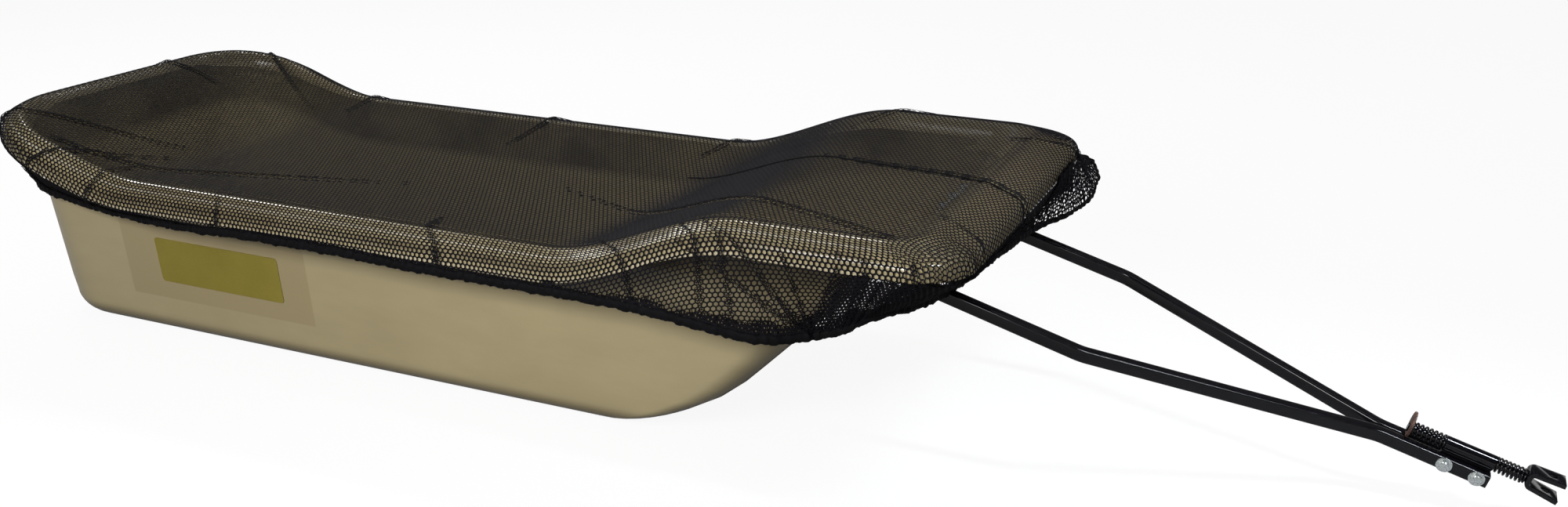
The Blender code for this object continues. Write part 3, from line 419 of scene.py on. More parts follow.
def make_camera():
    camera = bpy.data.cameras.new("camera")
    camera.sensor_width = SENSOR
    camera.sensor_fit = "HORIZONTAL"
    camera.lens = FOCAL_PX / IMAGE_WIDTH * SENSOR
    item = link_object("camera", camera)
    item.location = CAMERA_AT
    item.rotation_euler = [math.radians(angle) for angle in CAMERA_TURN]
    bpy.context.scene.camera = item


def area_light(name, place, target, along, size, power, colour=(1, 1, 1), spread=180):
    """Rectangular lamp that faces a target, its first side lying along a direction."""
    lamp = bpy.data.lights.new(name, "AREA")
    lamp.shape = "RECTANGLE"
    lamp.size, lamp.size_y = size
    lamp.energy = power
    lamp.color = colour
    lamp.spread = math.radians(spread)
    item = link_object(name, lamp)
    item.location = place
    back = (Vector(place) - Vector(target)).normalized()
    up = back.cross(Vector(along)).normalized()
    item.rotation_euler = Matrix((up.cross(back), up, back)).transposed().to_euler()


class Nodes:
    """Node tree of a material or the world. A value is a socket, a number or a colour."""

    def __init__(self, owner):
        owner.use_nodes = True
        self.nodes = owner.node_tree.nodes
        self.links = owner.node_tree.links

    def put(self, socket, value):
        if isinstance(value, bpy.types.NodeSocket):
            self.links.new(value, socket)
        elif socket.type == "RGBA":
            socket.default_value = (*value, 1)
        else:
            socket.default_value = value

    def add(self, kind, values=None, **settings):
        """New node with values for its inputs. Gives its outputs."""
        node = self.nodes.new(f"ShaderNode{kind}")
        for name, value in settings.items():
            setattr(node, name, value)
        for key, value in (values or {}).items():
            self.put(node.inputs[key], value)
        return node.outputs

    def maths(self, operation, first, second):
        return self.add("Math", {0: first, 1: second}, operation=operation)[0]

    def mix(self, share, first, second, blend="MIX"):
        return self.add("Mix", {0: share, 6: first, 7: second}, data_type="RGBA", blend_type=blend)[2]

    def clamp(self, value):
        return self.add("Clamp", {"Value": value})[0]

    def between(self, value, low, high, soft):
        """One where a value lies between two limits, with soft edges."""
        rise = self.maths("DIVIDE", self.maths("SUBTRACT", value, low), soft)
        fall = self.maths("DIVIDE", self.maths("SUBTRACT", high, value), soft)
        return self.clamp(self.maths("MINIMUM", rise, fall))

    def rays(self):
        """One for rays that show the background straight on, and one for rays that mirror it."""
        path = self.add("LightPath")
        seen = self.maths("MAXIMUM", path["Is Camera Ray"], path["Is Transmission Ray"])
        return seen, path["Is Glossy Ray"]


def make_world():
    """White for the camera, a white wall under a dim ceiling for what is mirrored, dim for the light."""
    world = bpy.data.worlds.new("studio")
    bpy.context.scene.world = world
    tree = Nodes(world)
    tree.nodes.clear()
    seen, mirrored = tree.rays()
    height = tree.add("SeparateXYZ", {0: tree.add("TexCoord")["Generated"]})[2]
    wall = tree.between(height, -2.0, WALL_TOP, WALL_FADE)
    mirror = tree.maths("MULTIPLY", mirrored, tree.maths("MAXIMUM", wall, CEILING))
    soft = tree.maths("MULTIPLY", tree.maths("SUBTRACT", 1.0, mirrored), SKY_STRENGTH)
    level = tree.maths("MAXIMUM", seen, tree.maths("ADD", mirror, soft))
    shade = tree.add("Background", {"Color": (1, 1, 1), "Strength": level})[0]
    tree.add("OutputWorld", {"Surface": shade})


def make_floor():
    """Floor that looks white, keeps the sled's soft shadow and throws little light back."""
    bm = bmesh.new()
    bmesh.ops.create_grid(bm, x_segments=1, y_segments=1, size=FLOOR_SIZE)
    mesh = bpy.data.meshes.new("floor")
    bm.to_mesh(mesh)
    bm.free()
    floor = link_object("floor", mesh)
    floor.location = (0, 0, FLOOR_Z)
    mat = bpy.data.materials.new("floor")
    tree = Nodes(mat)
    tree.nodes.clear()
    seen, mirrored = tree.rays()
    light, in_mirror, to_eye = ([tone] * 3 for tone in FLOOR_TONES)
    tone = tree.mix(seen, tree.mix(mirrored, light, in_mirror), to_eye)
    shade = tree.add("BsdfDiffuse", {"Color": tone})[0]
    white = tree.add("Emission", {"Color": (1, 1, 1), "Strength": 1.0})[0]
    mixed = tree.add("MixShader", {0: tree.maths("MULTIPLY", seen, FLOOR_WHITE), 1: shade, 2: white})[0]
    tree.add("OutputMaterial", {"Surface": mixed})
    mesh.materials.append(mat)


# Materials

class Look(Nodes):
    """Material whose one shader takes its values from noise on object coordinates."""

    def __init__(self, name):
        self.mat = bpy.data.materials.new(name)
        super().__init__(self.mat)
        self.coords = self.add("TexCoord")["Object"]

    def noise(self, scale, detail=4.0, roughness=0.55, stretch=None):
        """Noise from 0 to 1."""
        coords = self.coords
        if stretch is not None:
            coords = self.add("Mapping", {"Vector": coords, "Scale": stretch})["Vector"]
        values = {"Vector": coords, "Scale": scale, "Detail": detail, "Roughness": roughness}
        return self.add("TexNoise", values)["Fac"]

    def ramp(self, value, *stops):
        """Colour ramp from (place, colour) stops. A grey may be a single number."""
        node = self.nodes.new("ShaderNodeValToRGB")
        elements = node.color_ramp.elements
        for index, (place, colour) in enumerate(stops):
            if index >= len(elements):
                elements.new(place)
            elements[index].position = place
            if not hasattr(colour, "__len__"):
                colour = (colour, colour, colour)
            elements[index].color = (*colour, 1)
        self.links.new(value, node.inputs["Fac"])
        return node.outputs["Color"]

    def bump(self, height, strength, distance, under=None):
        values = {"Strength": strength, "Distance": distance, "Height": height}
        if under is not None:
            values["Normal"] = under
        return self.add("Bump", values)["Normal"]

    def made(self, values):
        """Give the shader its values, and return the material."""
        for name, value in values.items():
            self.put(self.nodes["Principled BSDF"].inputs[name], value)
        return self.mat


def hull_plastic():
    """Moulded tan plastic: mottled, faintly stippled, scuffed along the bottom, darker towards its foot with
    a painted contact shadow at the edge, and with painted highlights and painted shade along the rim.
    """
    look = Look("tan_plastic")
    axes = look.add("SeparateXYZ", {0: look.coords})
    base = look.ramp(look.noise(3.2, 3.0), (0.30, (0.345, 0.286, 0.160)), (0.70, (0.375, 0.312, 0.177)))
    flow = look.noise(9.0, 5.0, 0.6, (1.0, 1.0, 3.0))
    base = look.mix(1.0, base, look.ramp(flow, (0.35, 0.965), (0.65, 1.02)), "MULTIPLY")

    film = 1.0
    for axis, (low, high, soft) in zip(axes, FILM_BOX):
        film = look.maths("MULTIPLY", look.between(axis, low, high, soft), film)
    base = look.mix(film, base, FILM_TONE)

    # scuffs near the ground, then darkening towards the foot with a painted contact shadow along its edge
    height = axes[2]
    low = look.maths("DIVIDE", look.maths("SUBTRACT", SCUFF_TOP, height), SCUFF_TOP)
    scuff = look.maths("SUBTRACT", look.noise(26.0, 8.0, 0.7, (1.0, 4.0, 9.0)), SCUFF_LEAST)
    scuff = look.maths("MULTIPLY", scuff, SCUFF_CRISP)
    wear = look.clamp(look.maths("MULTIPLY", scuff, look.maths("MAXIMUM", low, 0.0)))
    base = look.mix(wear, base, SCUFF_TONE)
    for top, soft, share, colour in FOOT_TONES:
        foot = look.between(height, -1.0, top, soft)
        base = look.mix(look.maths("MULTIPLY", foot, share), base, colour)

    # the rim: painted highlights along its shoulder and its bead, painted shade on the slope between them and
    # under the lip, broken into patches and fading before the bow
    place = look.add("Attribute", attribute_name="rim_place")["Fac"]
    patchy = look.ramp(look.noise(6.0), (0.35, 0.45), (0.62, 1.0))
    patchy = look.maths("MULTIPLY", patchy, look.between(axes[0], -1.2, RIM_PAINT_END, RIM_PAINT_FADE))
    for low, high, soft, share, colour in RIM_PAINTED_LIGHT:
        band = look.maths("MULTIPLY", look.between(place, low, high, soft), share)
        base = look.mix(look.maths("MULTIPLY", band, patchy), base, colour)

    swell = look.bump(look.noise(5.5, 2.0), 0.10, 0.004)
    return look.made({
        "Base Color": base,
        "Roughness": look.ramp(look.noise(14.0, 6.0), (0.3, 0.15), (0.7, 0.22)),
        "Normal": look.bump(look.noise(620.0, 2.0), 0.05, 0.0004, swell),
        "Specular IOR Level": 0.5,
    })


def knit_black(name, scale, strength, depth):
    """Black knitted yarn with a fine twist."""
    look = Look(name)
    dark = [depth * value for value in (0.0040, 0.0034, 0.0052)]
    light = [depth * value for value in (0.0090, 0.0078, 0.0110)]
    twist = look.noise(scale, 3.0, 0.6)
    return look.made({
        "Base Color": look.ramp(look.noise(22.0), (0.3, dark), (0.75, light)),
        "Roughness": look.ramp(twist, (0.3, 0.62), (0.7, 0.86)),
        "Normal": look.bump(twist, strength, 0.0006),
        "Specular IOR Level": 0.11,
    })


def black_paint(name="black_paint", worn=0.5):
    """Semi-gloss black enamel with orange peel, dust and small chips."""
    look = Look(name)
    tones = (0.3, (0.0026, 0.0025, 0.0034)), (0.7, (0.0052, 0.0050, 0.0066))
    colour = look.ramp(look.noise(30.0, 5.0), *tones)
    chips = look.maths(
        "MULTIPLY",
        look.ramp(look.noise(330.0, 6.0, 0.65), (0.66, 0.0), (0.69, 1.0)),
        look.ramp(look.noise(40.0, 3.0), (0.50, 0.0), (0.62, worn)),
    )
    return look.made({
        "Base Color": look.mix(chips, colour, (0.095, 0.088, 0.085)),
        "Roughness": look.ramp(look.noise(75.0, 7.0, 0.65), (0.35, 0.07), (0.70, 0.17)),
        "Normal": look.bump(look.noise(160.0, 2.0), 0.02, 0.0004),
        "Specular IOR Level": 0.34,
    })


def zinc():
    """Bright zinc plate with a spangled tone and fine rub marks."""
    look = Look("zinc")
    patchy = look.noise(900.0, 4.0, 0.7, (1.0, 0.2, 1.0))
    return look.made({
        "Base Color": look.ramp(look.noise(260.0), (0.3, (0.56, 0.59, 0.58)), (0.7, (0.64, 0.67, 0.66))),
        "Metallic": 0.85,
        "Roughness": look.ramp(patchy, (0.3, 0.18), (0.7, 0.34)),
        "Normal": look.bump(patchy, 0.12, 0.0002),
    })


def rusty_steel():
    """Bare steel gone brown, pitted."""
    look = Look("bare_steel")
    patch = look.noise(120.0, 8.0, 0.65)
    tones = (0.32, (0.035, 0.022, 0.019)), (0.52, (0.105, 0.056, 0.040)), (0.70, (0.185, 0.105, 0.075))
    return look.made({
        "Base Color": look.ramp(patch, *tones),
        "Metallic": 0.35,
        "Roughness": look.ramp(patch, (0.3, 0.50), (0.7, 0.85)),
        "Normal": look.bump(look.noise(700.0, 5.0), 0.4, 0.0004),
    })


def olive_plate():
    """Printed plate left bare: an even olive with a satin film and fine grain."""
    look = Look("olive_label")
    cloud = look.noise(12.0, 3.0)
    colour = look.ramp(cloud, (0.3, (0.195, 0.156, 0.017)), (0.7, (0.225, 0.180, 0.023)))
    grain = look.noise(900.0, 3.0)
    return look.made({
        "Base Color": look.mix(1.0, colour, look.ramp(grain, (0.35, 0.90), (0.65, 1.06)), "MULTIPLY"),
        "Roughness": look.ramp(cloud, (0.3, 0.46), (0.7, 0.56)),
        "Normal": look.bump(grain, 0.06, 0.0002),
    })


# Meshes

ALL_SMOOTH = 180  # angle between faces, in degrees, below which an edge is smooth


def make_object(name, verts, faces, mat, smooth_angle):
    mesh = bpy.data.meshes.new(name)
    mesh.from_pydata([tuple(v) for v in verts], [], [tuple(int(i) for i in f) for f in faces])
    mesh.update()
    mesh.shade_smooth()
    mesh.set_sharp_from_angle(angle=math.radians(smooth_angle))
    mesh.materials.append(mat)
    return link_object(name, mesh)


def apply_modifiers(item):
    """Put the evaluated mesh in place of the base mesh."""
    bpy.context.view_layer.update()
    evaluated = item.evaluated_get(bpy.context.evaluated_depsgraph_get())
    mesh = bpy.data.meshes.new_from_object(evaluated)
    old = item.data
    item.modifiers.clear()
    item.data = mesh
    bpy.data.meshes.remove(old)


def round_edges(item, width, angle):
    edge = item.modifiers.new("edges", "BEVEL")
    edge.width = width
    edge.segments = 3
    edge.limit_method = "ANGLE"
    edge.angle_limit = math.radians(angle)


def smooth_step(value):
    value = np.clip(value, 0.0, 1.0)
    return value * value * (3 - 2 * value)


def crown(x):
    bow = smooth_step((x - BOW_RISE[0]) / (BOW_RISE[1] - BOW_RISE[0]))
    stern = smooth_step((x - STERN_RISE[0]) / (STERN_RISE[1] - STERN_RISE[0]))
    return CROWN_MID + (CROWN_BOW - CROWN_MID) * bow + (CROWN_STERN - CROWN_MID) * stern


def ramp_x(z):
    arc_top = RAMP_RADIUS * (1 - math.cos(RAMP_ANGLE))
    if z <= arc_top:
        return RAMP_START + math.sqrt(max(0.0, 2 * RAMP_RADIUS * z - z * z))
    return RAMP_START + RAMP_RADIUS * math.sin(RAMP_ANGLE) + (z - arc_top) / math.tan(RAMP_ANGLE)


def stern_x(z):
    return -(HULL_LENGTH / 2 - RIM_WIDTH - (CROWN_STERN - RIM_ROOT - z) * STERN_DRAFT)


def half_width(z):
    return FLOOR_HALF + z * SIDE_DRAFT


def outline(rear, front, half, rear_corner, front_corner):
    """Plan ring of a rounded rectangle, anticlockwise from the right end of the stern."""
    arcs = []
    for x, y, radius, start in (
        (rear + rear_corner, -half + rear_corner, rear_corner, 180),
        (front - front_corner, -half + front_corner, front_corner, 270),
        (front - front_corner, half - front_corner, front_corner, 0),
        (rear + rear_corner, half - rear_corner, rear_corner, 90),
    ):
        angle = np.radians(start + 90 * np.arange(CORNER_STEPS + 1) / CORNER_STEPS)
        arcs.append(np.column_stack([x + radius * np.cos(angle), y + radius * np.sin(angle)]))
    parts = []
    for arc, following, steps in zip(arcs, arcs[1:] + arcs[:1], (SIDE_STEPS, END_STEPS) * 2):
        share = np.arange(1, steps)[:, None] / steps
        parts += [arc, arc[-1] * (1 - share) + following[0] * share]
    return np.concatenate(parts)


def ring(plan, z):
    return np.column_stack([plan[:, 0], plan[:, 1], z])


def chine_ring(angle):
    z = CHINE_RADIUS * (1 - math.cos(angle))
    inset = CHINE_RADIUS * (1 - math.sin(angle))
    half = half_width(CHINE_RADIUS) - inset
    plan = outline(stern_x(0) + inset, ramp_x(z), half, STERN_CORNER - inset, BOW_CORNER - inset)
    return ring(plan, np.full(len(plan), z))


def wall_ring(share):
    """Ring at a share of the wall's height from the chine to the rim."""

    def height(x):
        return CHINE_RADIUS + (crown(x) - RIM_ROOT - CHINE_RADIUS) * share

    bow_z = float(height(HULL_LENGTH / 2))
    stern_z = float(height(-HULL_LENGTH / 2))
    plan = outline(stern_x(stern_z), ramp_x(bow_z), half_width(bow_z), STERN_CORNER, BOW_CORNER)
    z = height(plan[:, 0])
    plan[:, 1] *= half_width(z) / half_width(bow_z)
    return ring(plan, z)


def rim_ring(side_share, bow_share, drop, off):
    """Ring of the rim's underside, moved outward and upward by off."""
    out = (RIM_WIDTH - WALL) * side_share + off[0]
    bow_out = (BOW_RIM_WIDTH - WALL) * bow_share + off[0]
    bow_z = CROWN_BOW - RIM_ROOT
    half = half_width(bow_z) + out
    plan = outline(
        stern_x(CROWN_STERN - RIM_ROOT) - out,
        ramp_x(bow_z) + bow_out,
        half,
        STERN_CORNER + (STERN_LIP_CORNER - STERN_CORNER) * side_share,
        BOW_CORNER + (BOW_LIP_CORNER - BOW_CORNER) * bow_share,
    )
    height = crown(plan[:, 0])
    plan[:, 1] *= (half_width(height - RIM_ROOT) + out) / half
    return ring(plan, height - WALL + drop + off[1])


def rim_place(place):
    """Section values at a fractional place in RIM_SECTION, on a smooth curve through its points."""
    table = np.array(RIM_SECTION)
    index = min(int(place), LIP - 1)
    share = place - index
    before = table[max(index - 1, 0)]
    start = table[index]
    end = table[index + 1]
    after = table[min(index + 2, LIP)]
    return 0.5 * (
        2 * start
        + (end - before) * share
        + (2 * before - 5 * start + 4 * end - after) * share**2
        + (3 * start - before - 3 * end + after) * share**3
    )


def rim_surface(place, distance):
    """Ring at a place in the rim's section, a distance off its underside."""
    here = rim_place(place)
    before = rim_place(max(place - SLOPE_STEP, 0.0))
    after = rim_place(min(place + SLOPE_STEP, LIP))
    run = (after[0] - before[0]) * (RIM_WIDTH - WALL)
    rise = after[2] - before[2]
    length = math.hypot(run, rise)
    return rim_ring(here[0], here[1], here[2], (-rise / length * distance, run / length * distance))


def loft_faces(count, levels, start=0):
    """Quads between closed rings of one size, numbered ring by ring."""
    faces = []
    for level in range(levels - 1):
        low = start + level * count
        for index in range(count):
            after = (index + 1) % count
            faces.append((low + index, low + after, low + count + after, low + count + index))
    return faces


def channel_height(x, across):
    """Rise of the two channels pressed into the floor, across it from -1 to 1."""
    start, end = CHANNEL_SPAN
    fade = smooth_step((x - start) / CHANNEL_FADE) * smooth_step((end - x) / CHANNEL_FADE)
    pressed = smooth_step((CHANNEL_HALF - abs(abs(across) - CHANNEL_MIDDLE)) / CHANNEL_SLOPE)
    return CHANNEL_DEPTH * fade * pressed


def make_hull(mat):
    """Moulded tub with its rim. Each point keeps its place in the rim's section, below zero down the wall."""
    chine = np.linspace(0, 90, CHINE_RINGS)
    levels = np.linspace(0.1, 0.99, WALL_RINGS)
    places = np.linspace(0.0, LIP, RIM_RINGS)
    rings = [chine_ring(math.radians(angle)) for angle in chine]
    rings += [wall_ring(level) for level in levels]
    rings += [rim_surface(place, 0.0) for place in places]
    verts = [point for one in rings for point in one]
    ring_places = np.concatenate([np.full(len(chine), -LIP), (levels - 1) * WALL_PLACES, places])
    faces = loft_faces(RING_COUNT, len(rings))
    grid = []
    for row in range(ROWS):
        right = row
        left = (ROWS + END_STEPS - 1) + (ROWS - 1 - row)
        if row == 0:
            inner = [RING_COUNT - step for step in range(1, END_STEPS)]
        elif row == ROWS - 1:
            inner = [ROWS - 1 + step for step in range(1, END_STEPS)]
        else:
            inner = []
            for step in range(1, END_STEPS):
                across = step / END_STEPS
                place = rings[0][right] * (1 - across) + rings[0][left] * across
                rise = float(channel_height(place[0], 2 * across - 1))
                inner.append(len(verts))
                verts.append(place + np.array((0, 0, rise)))
        grid.append([right, *inner, left])
    for low, high in zip(grid, grid[1:]):
        for column in range(END_STEPS):
            faces.append((low[column], low[column + 1], high[column + 1], high[column]))
    item = make_object("sled_hull", verts, faces, mat, 60)
    kept = np.full(len(verts), -float(LIP))
    kept[:len(rings) * RING_COUNT] = np.repeat(ring_places, RING_COUNT)
    item.data.attributes.new("rim_place", "FLOAT", "POINT").data.foreach_set("value", kept)
    shell = item.modifiers.new("wall", "SOLIDIFY")
    shell.thickness = WALL
    shell.offset = -1.0
    shell.use_even_offset = True
    shell.use_quality_normals = True
    round_edges(item, HULL_EDGE, 50)
    apply_modifiers(item)
    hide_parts("hull_shell")
    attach(item, "sled")


# Net

def arm_top(x):
    return PIVOT.z - (x - PIVOT.x) * math.tan(BAR_PITCH) + TUBE / 2 / math.cos(BAR_PITCH)


def hem_low(x):
    """Height of the hem's lower edge under a place on the lip."""
    side = crown(np.minimum(x, 0.0)) + RIM_SECTION[-1][2] - HEM_SIDE_DROP
    low = side + (HEM_BOW_Z - side) * smooth_step((x - HEM_DIP[0]) / (HEM_DIP[1] - HEM_DIP[0]))
    over_arms = arm_top(HEM_FRONT_X) + 3 * GAP
    front = smooth_step((x - HEM_ARM_RISE[0]) / (HEM_ARM_RISE[1] - HEM_ARM_RISE[0]))
    return low + (over_arms - low) * front


def hem_outline(lip):
    """Hem's middle line in plan: below the lip at the sides, drawn in to the arms at the bow."""
    front = lip[:, 0].max()
    draw = smooth_step((lip[:, 0] - HEM_DRAW_START) / (front - HEM_DRAW_START))
    out = np.sign(lip[:, 1]) * HEM_PLAY * np.minimum(1.0, np.abs(lip[:, 1]) / HEM_PLAY) * (1 - draw)
    x = lip[:, 0] - (front - HEM_FRONT_X) * draw
    y = lip[:, 1] * (1 - HEM_NARROW * draw) + out
    return np.column_stack([x, y])


def outward(points):
    """Outward normals in plan of a closed anticlockwise ring."""
    ahead = np.roll(points, -1, axis=0) - np.roll(points, 1, axis=0)
    normal = np.column_stack([ahead[:, 1], -ahead[:, 0]])
    return normal / np.linalg.norm(normal, axis=1, keepdims=True)


def ring_length(points):
    """Length along a closed ring at each of its points, and all round."""
    steps = np.linalg.norm(np.roll(points, -1, axis=0) - points, axis=1)
    return np.concatenate([[0.0], np.cumsum(steps)])


def waves(length, total, parts):
    """Sum of whole waves round a ring. parts are (count, height, phase)."""
    turn = math.tau * length / total
    return sum(height * np.sin(count * turn + phase) for count, height, phase in parts)


def along_lip(lip):
    """Distance of each lip point from the middle of the bow, negative on the right side."""
    length = ring_length(lip)
    middle = int(np.argmin(np.abs(lip[:, 1]) - 10 * lip[:, 0]))
    distance = length[:-1] - length[middle]
    return np.where(distance > length[-1] / 2, distance - length[-1], distance)


def hem_line(lip):
    """Hem's middle line: the even line, and its real lie at the bow and the stern's corners."""
    line = np.column_stack([hem_outline(lip), hem_low(lip[:, 0]) + HEM_HEIGHT / 2 + HEM_RAISE])
    middle, half, lift = HEM_LIFT_AT
    line[:, 2] += lift * smooth_step(1.5 * (1 - np.abs(lip[:, 0] - middle) / half))
    distance = along_lip(lip)
    side = np.where(distance < 0, -1.0, 1.0)
    for table, at, mirror, fades_out in (
        (HEM_AT_BOW, distance, 1.0, True),
        (HEM_AT_STERN, np.abs(distance), side, False),
    ):
        table = np.array(table)
        place = np.column_stack([np.interp(at, table[:, 0], table[:, axis]) for axis in (1, 2, 3)])
        place[:, 1] *= mirror
        weight = smooth_step((at - table[0, 0]) / HEM_FADE)
        if fades_out:
            weight = weight * smooth_step((table[-1, 0] - at) / HEM_FADE)
        line = line * (1 - weight[:, None]) + place * weight[:, None]
    for _ in range(HEM_SMOOTHING):
        line = 0.5 * line + 0.25 * (np.roll(line, 1, axis=0) + np.roll(line, -1, axis=0))
    return line


def net_rings():
    """Rings of the net from where it leaves the rim inward, over the rim and down to the hem."""
    rings = [rim_surface(place, NET_OFF) for place in np.linspace(NET_LEAVES, LIP, RIM_NET_RINGS)]
    lip = rings[-1]
    low = hem_line(lip) + np.array((0, 0, NET_TUCK * HEM_HEIGHT))
    length = ring_length(low)
    wave = waves(length[:-1], length[-1], GATHERS)
    normal = outward(low[:, :2])
    for step in range(1, SKIRT_RINGS + 1):
        share = step / SKIRT_RINGS
        place = lip * (1 - share) + low * share
        place[:, :2] += normal * (wave * share**1.5)[:, None]
        rings.append(place)
    return np.array(rings)


class NetSurface:
    """Maps flat cloth to its place: flat inside the rim's crown, over the rim and down outside it."""

    def __init__(self):
        self.rings = net_rings()
        self.count = self.rings.shape[1]
        steps = np.linalg.norm(np.diff(self.rings, axis=0), axis=2)
        self.reach = np.concatenate([np.zeros((1, self.count)), np.cumsum(steps, axis=0)])
        self.edge = self.rings[0][:, :2]
        self.after = np.roll(self.edge, -1, axis=0)
        self.lift = float((self.rings[0][:, 2] - crown(self.edge[:, 0])).mean())
        self.normal = outward(self.rings[-1][:, :2])

    def nearest(self, flat):
        """Fractional place on the edge and signed distance outside it, for flat points."""
        place = np.empty(len(flat))
        distance = np.empty(len(flat))
        along = self.after - self.edge
        size = (along**2).sum(axis=1)
        normal = np.column_stack([along[:, 1], -along[:, 0]]) / np.sqrt(size)[:, None]
        for start in range(0, len(flat), NEAREST_BATCH):
            batch = slice(start, start + NEAREST_BATCH)
            part = flat[batch]
            gap = part[:, None, :] - self.edge[None]
            share = np.clip((gap * along[None]).sum(axis=2) / size[None], 0, 1)
            away = gap - share[:, :, None] * along[None]
            square = (away**2).sum(axis=2)
            best = square.argmin(axis=1)
            rows = np.arange(len(part))
            place[batch] = best + share[rows, best]
            side = (away[rows, best] * normal[best]).sum(axis=1)
            distance[batch] = np.sqrt(square[rows, best]) * np.where(side > 0, 1, -1)
        return place, distance

    def inside_height(self, flat):
        across = np.clip(np.abs(flat[:, 1]) / MOUTH_HALF, 0, 1)
        along = np.clip(np.abs(flat[:, 0]) / NET_HALF_SPAN, 0, 1)
        sag = NET_SAG * (1 - across**2) * (1 - along**4)
        return crown(flat[:, 0]) + self.lift - sag

    def over_rim(self, place, out):
        """Places at a fractional ring index and a distance along the section from the net's edge."""
        index = np.floor(place).astype(int) % self.count
        after = (index + 1) % self.count
        share = (place - np.floor(place))[:, None]
        reach = self.reach[:, index].T * (1 - share) + self.reach[:, after].T * share
        limit = reach[:, -1]
        inside = np.clip(out, 0, limit)
        level = np.clip((reach <= inside[:, None]).sum(axis=1) - 1, 0, reach.shape[1] - 2)
        rows = np.arange(len(place))
        low, high = reach[rows, level], reach[rows, level + 1]
        up = np.clip((inside - low) / np.maximum(high - low, 1e-9), 0, 1)[:, None]
        first = self.rings[level, index] * (1 - share) + self.rings[level, after] * share
        second = self.rings[level + 1, index] * (1 - share) + self.rings[level + 1, after] * share
        return first * (1 - up) + second * up, limit

    def __call__(self, flat):
        """Places of flat points, and how far each is from the hem, negative past it."""
        place, distance = self.nearest(flat)
        points, limit = self.over_rim(place, distance)
        inner = distance < 0
        points[inner, :2] = flat[inner]
        points[inner, 2] = self.inside_height(flat[inner])
        return points, limit - distance

    def over_hem(self, flat, hand, span):
        """Places in the gathers of one side: flat x runs along the gathered hem, flat y up from it.

        A layer spans two shares of the gathers' height. Also gives how far each place is inside it.
        """
        hem = self.rings[-1]
        length = ring_length(hem)
        along = flat[:, 0] / GATHER_RATIO
        place = np.interp(along, length, np.arange(self.count + 1))
        index = np.floor(place).astype(int) % self.count
        after = (index + 1) % self.count
        share = (place - np.floor(place))[:, None]
        lip = self.rings[-1 - SKIRT_RINGS]
        distance = np.interp(place, np.arange(self.count), along_lip(lip))
        table = np.array(GATHER_HEIGHT)
        low, high = span
        tall = np.maximum(np.interp(distance, table[:, 0], table[:, 1]) * high, GATHER_LEAST)
        tall = tall * (1 + waves(along, length[-1], TALLNESS))
        _, limit = self.over_rim(place, np.zeros(len(flat)))
        skirt = limit - np.interp(place, np.arange(self.count), self.reach[-1 - SKIRT_RINGS])
        tall = np.minimum(tall, skirt + GATHER_PAST_LIP[hand])
        points, _ = self.over_rim(place, limit - flat[:, 1])
        normal = self.normal[index] * (1 - share) + self.normal[after] * share
        points[:, :2] += normal * (waves(along, length[-1], FOLDS) + GATHER_OUT)[:, None]
        left = np.minimum(tall - flat[:, 1], flat[:, 1] - tall * low)
        if low > 0:
            left[tall < GATHER_TALL] = -1.0
        return points, np.where(distance * hand >= 0, left, -1.0)


def crease_frame(points, foot, direction):
    way = np.array(direction) / math.hypot(*direction)
    side = np.array((way[1], -way[0]))
    gap = points - np.array(foot)
    return way, side, gap @ way, gap @ side


def creased(flat):
    """Flat points drawn together along the creases, and how high each stands up for them."""
    moved = flat.copy()
    height = np.zeros(len(flat))
    for foot, direction, width, reach in CREASES:
        _, side, along, across = crease_frame(flat, foot, direction)
        fade = smooth_step((reach - along) / (CREASE_FADE * reach))
        fade = fade * smooth_step((along + CREASE_FOOT) / CREASE_START)
        bell = np.exp(-((across / (CREASE_WIDE * width)) ** 2)) * fade
        moved -= side[None] * (CREASE_PULL * across * bell)[:, None]
        height += CREASE_HEIGHT * np.exp(-((across / (CREASE_SHARP * width)) ** 2)) * fade
    return moved, height


def honeycomb(low, high):
    """Corners of hexagonal cells that cover a box: an array of cells, each of six flat points."""
    side = CELL / math.sqrt(3)
    rows = int((high[1] - low[1]) / (1.5 * side)) + 1
    columns = int((high[0] - low[0]) / CELL) + 1
    column, row = np.meshgrid(np.arange(columns), np.arange(rows))
    x = low[0] + CELL * (column + 0.5 * (row % 2))
    y = low[1] + 1.5 * side * row
    centres = np.column_stack([x.ravel(), y.ravel()])
    angles = np.radians(30 + 60 * np.arange(6))
    corners = side * np.column_stack([np.cos(angles), np.sin(angles)])
    return centres[:, None, :] + corners[None]


def knit(cells, placer, lift=0.0, hole_share=HOLE_SHARE):
    """Corners, strand bases and strand crests of the cells that a placer puts short of the hem."""
    # corners of two cells that lie within a hundredth of a millimetre are one
    keys = np.round(cells.reshape(-1, 2) * 1e5).astype(np.int64)
    _, first, inverse = np.unique(keys, axis=0, return_index=True, return_inverse=True)
    places, left, height = placer(cells.reshape(-1, 2)[first])
    corner = inverse.reshape(-1, 6)
    corner = corner[(left[corner] > KNIT_PAST).all(axis=1)]
    around = places[corner]
    spread = np.cross(around[:, 2] - around[:, 0], around[:, 4] - around[:, 0])
    spread /= np.maximum(np.linalg.norm(spread, axis=1, keepdims=True), 1e-9)
    up = np.zeros_like(places)
    for number in range(6):
        np.add.at(up, corner[:, number], spread)
    up /= np.maximum(np.linalg.norm(up, axis=1, keepdims=True), 1e-9)
    base = places + up * (height + lift)[:, None]
    return corner, base, base + up * STRAND_CROWN, hole_share


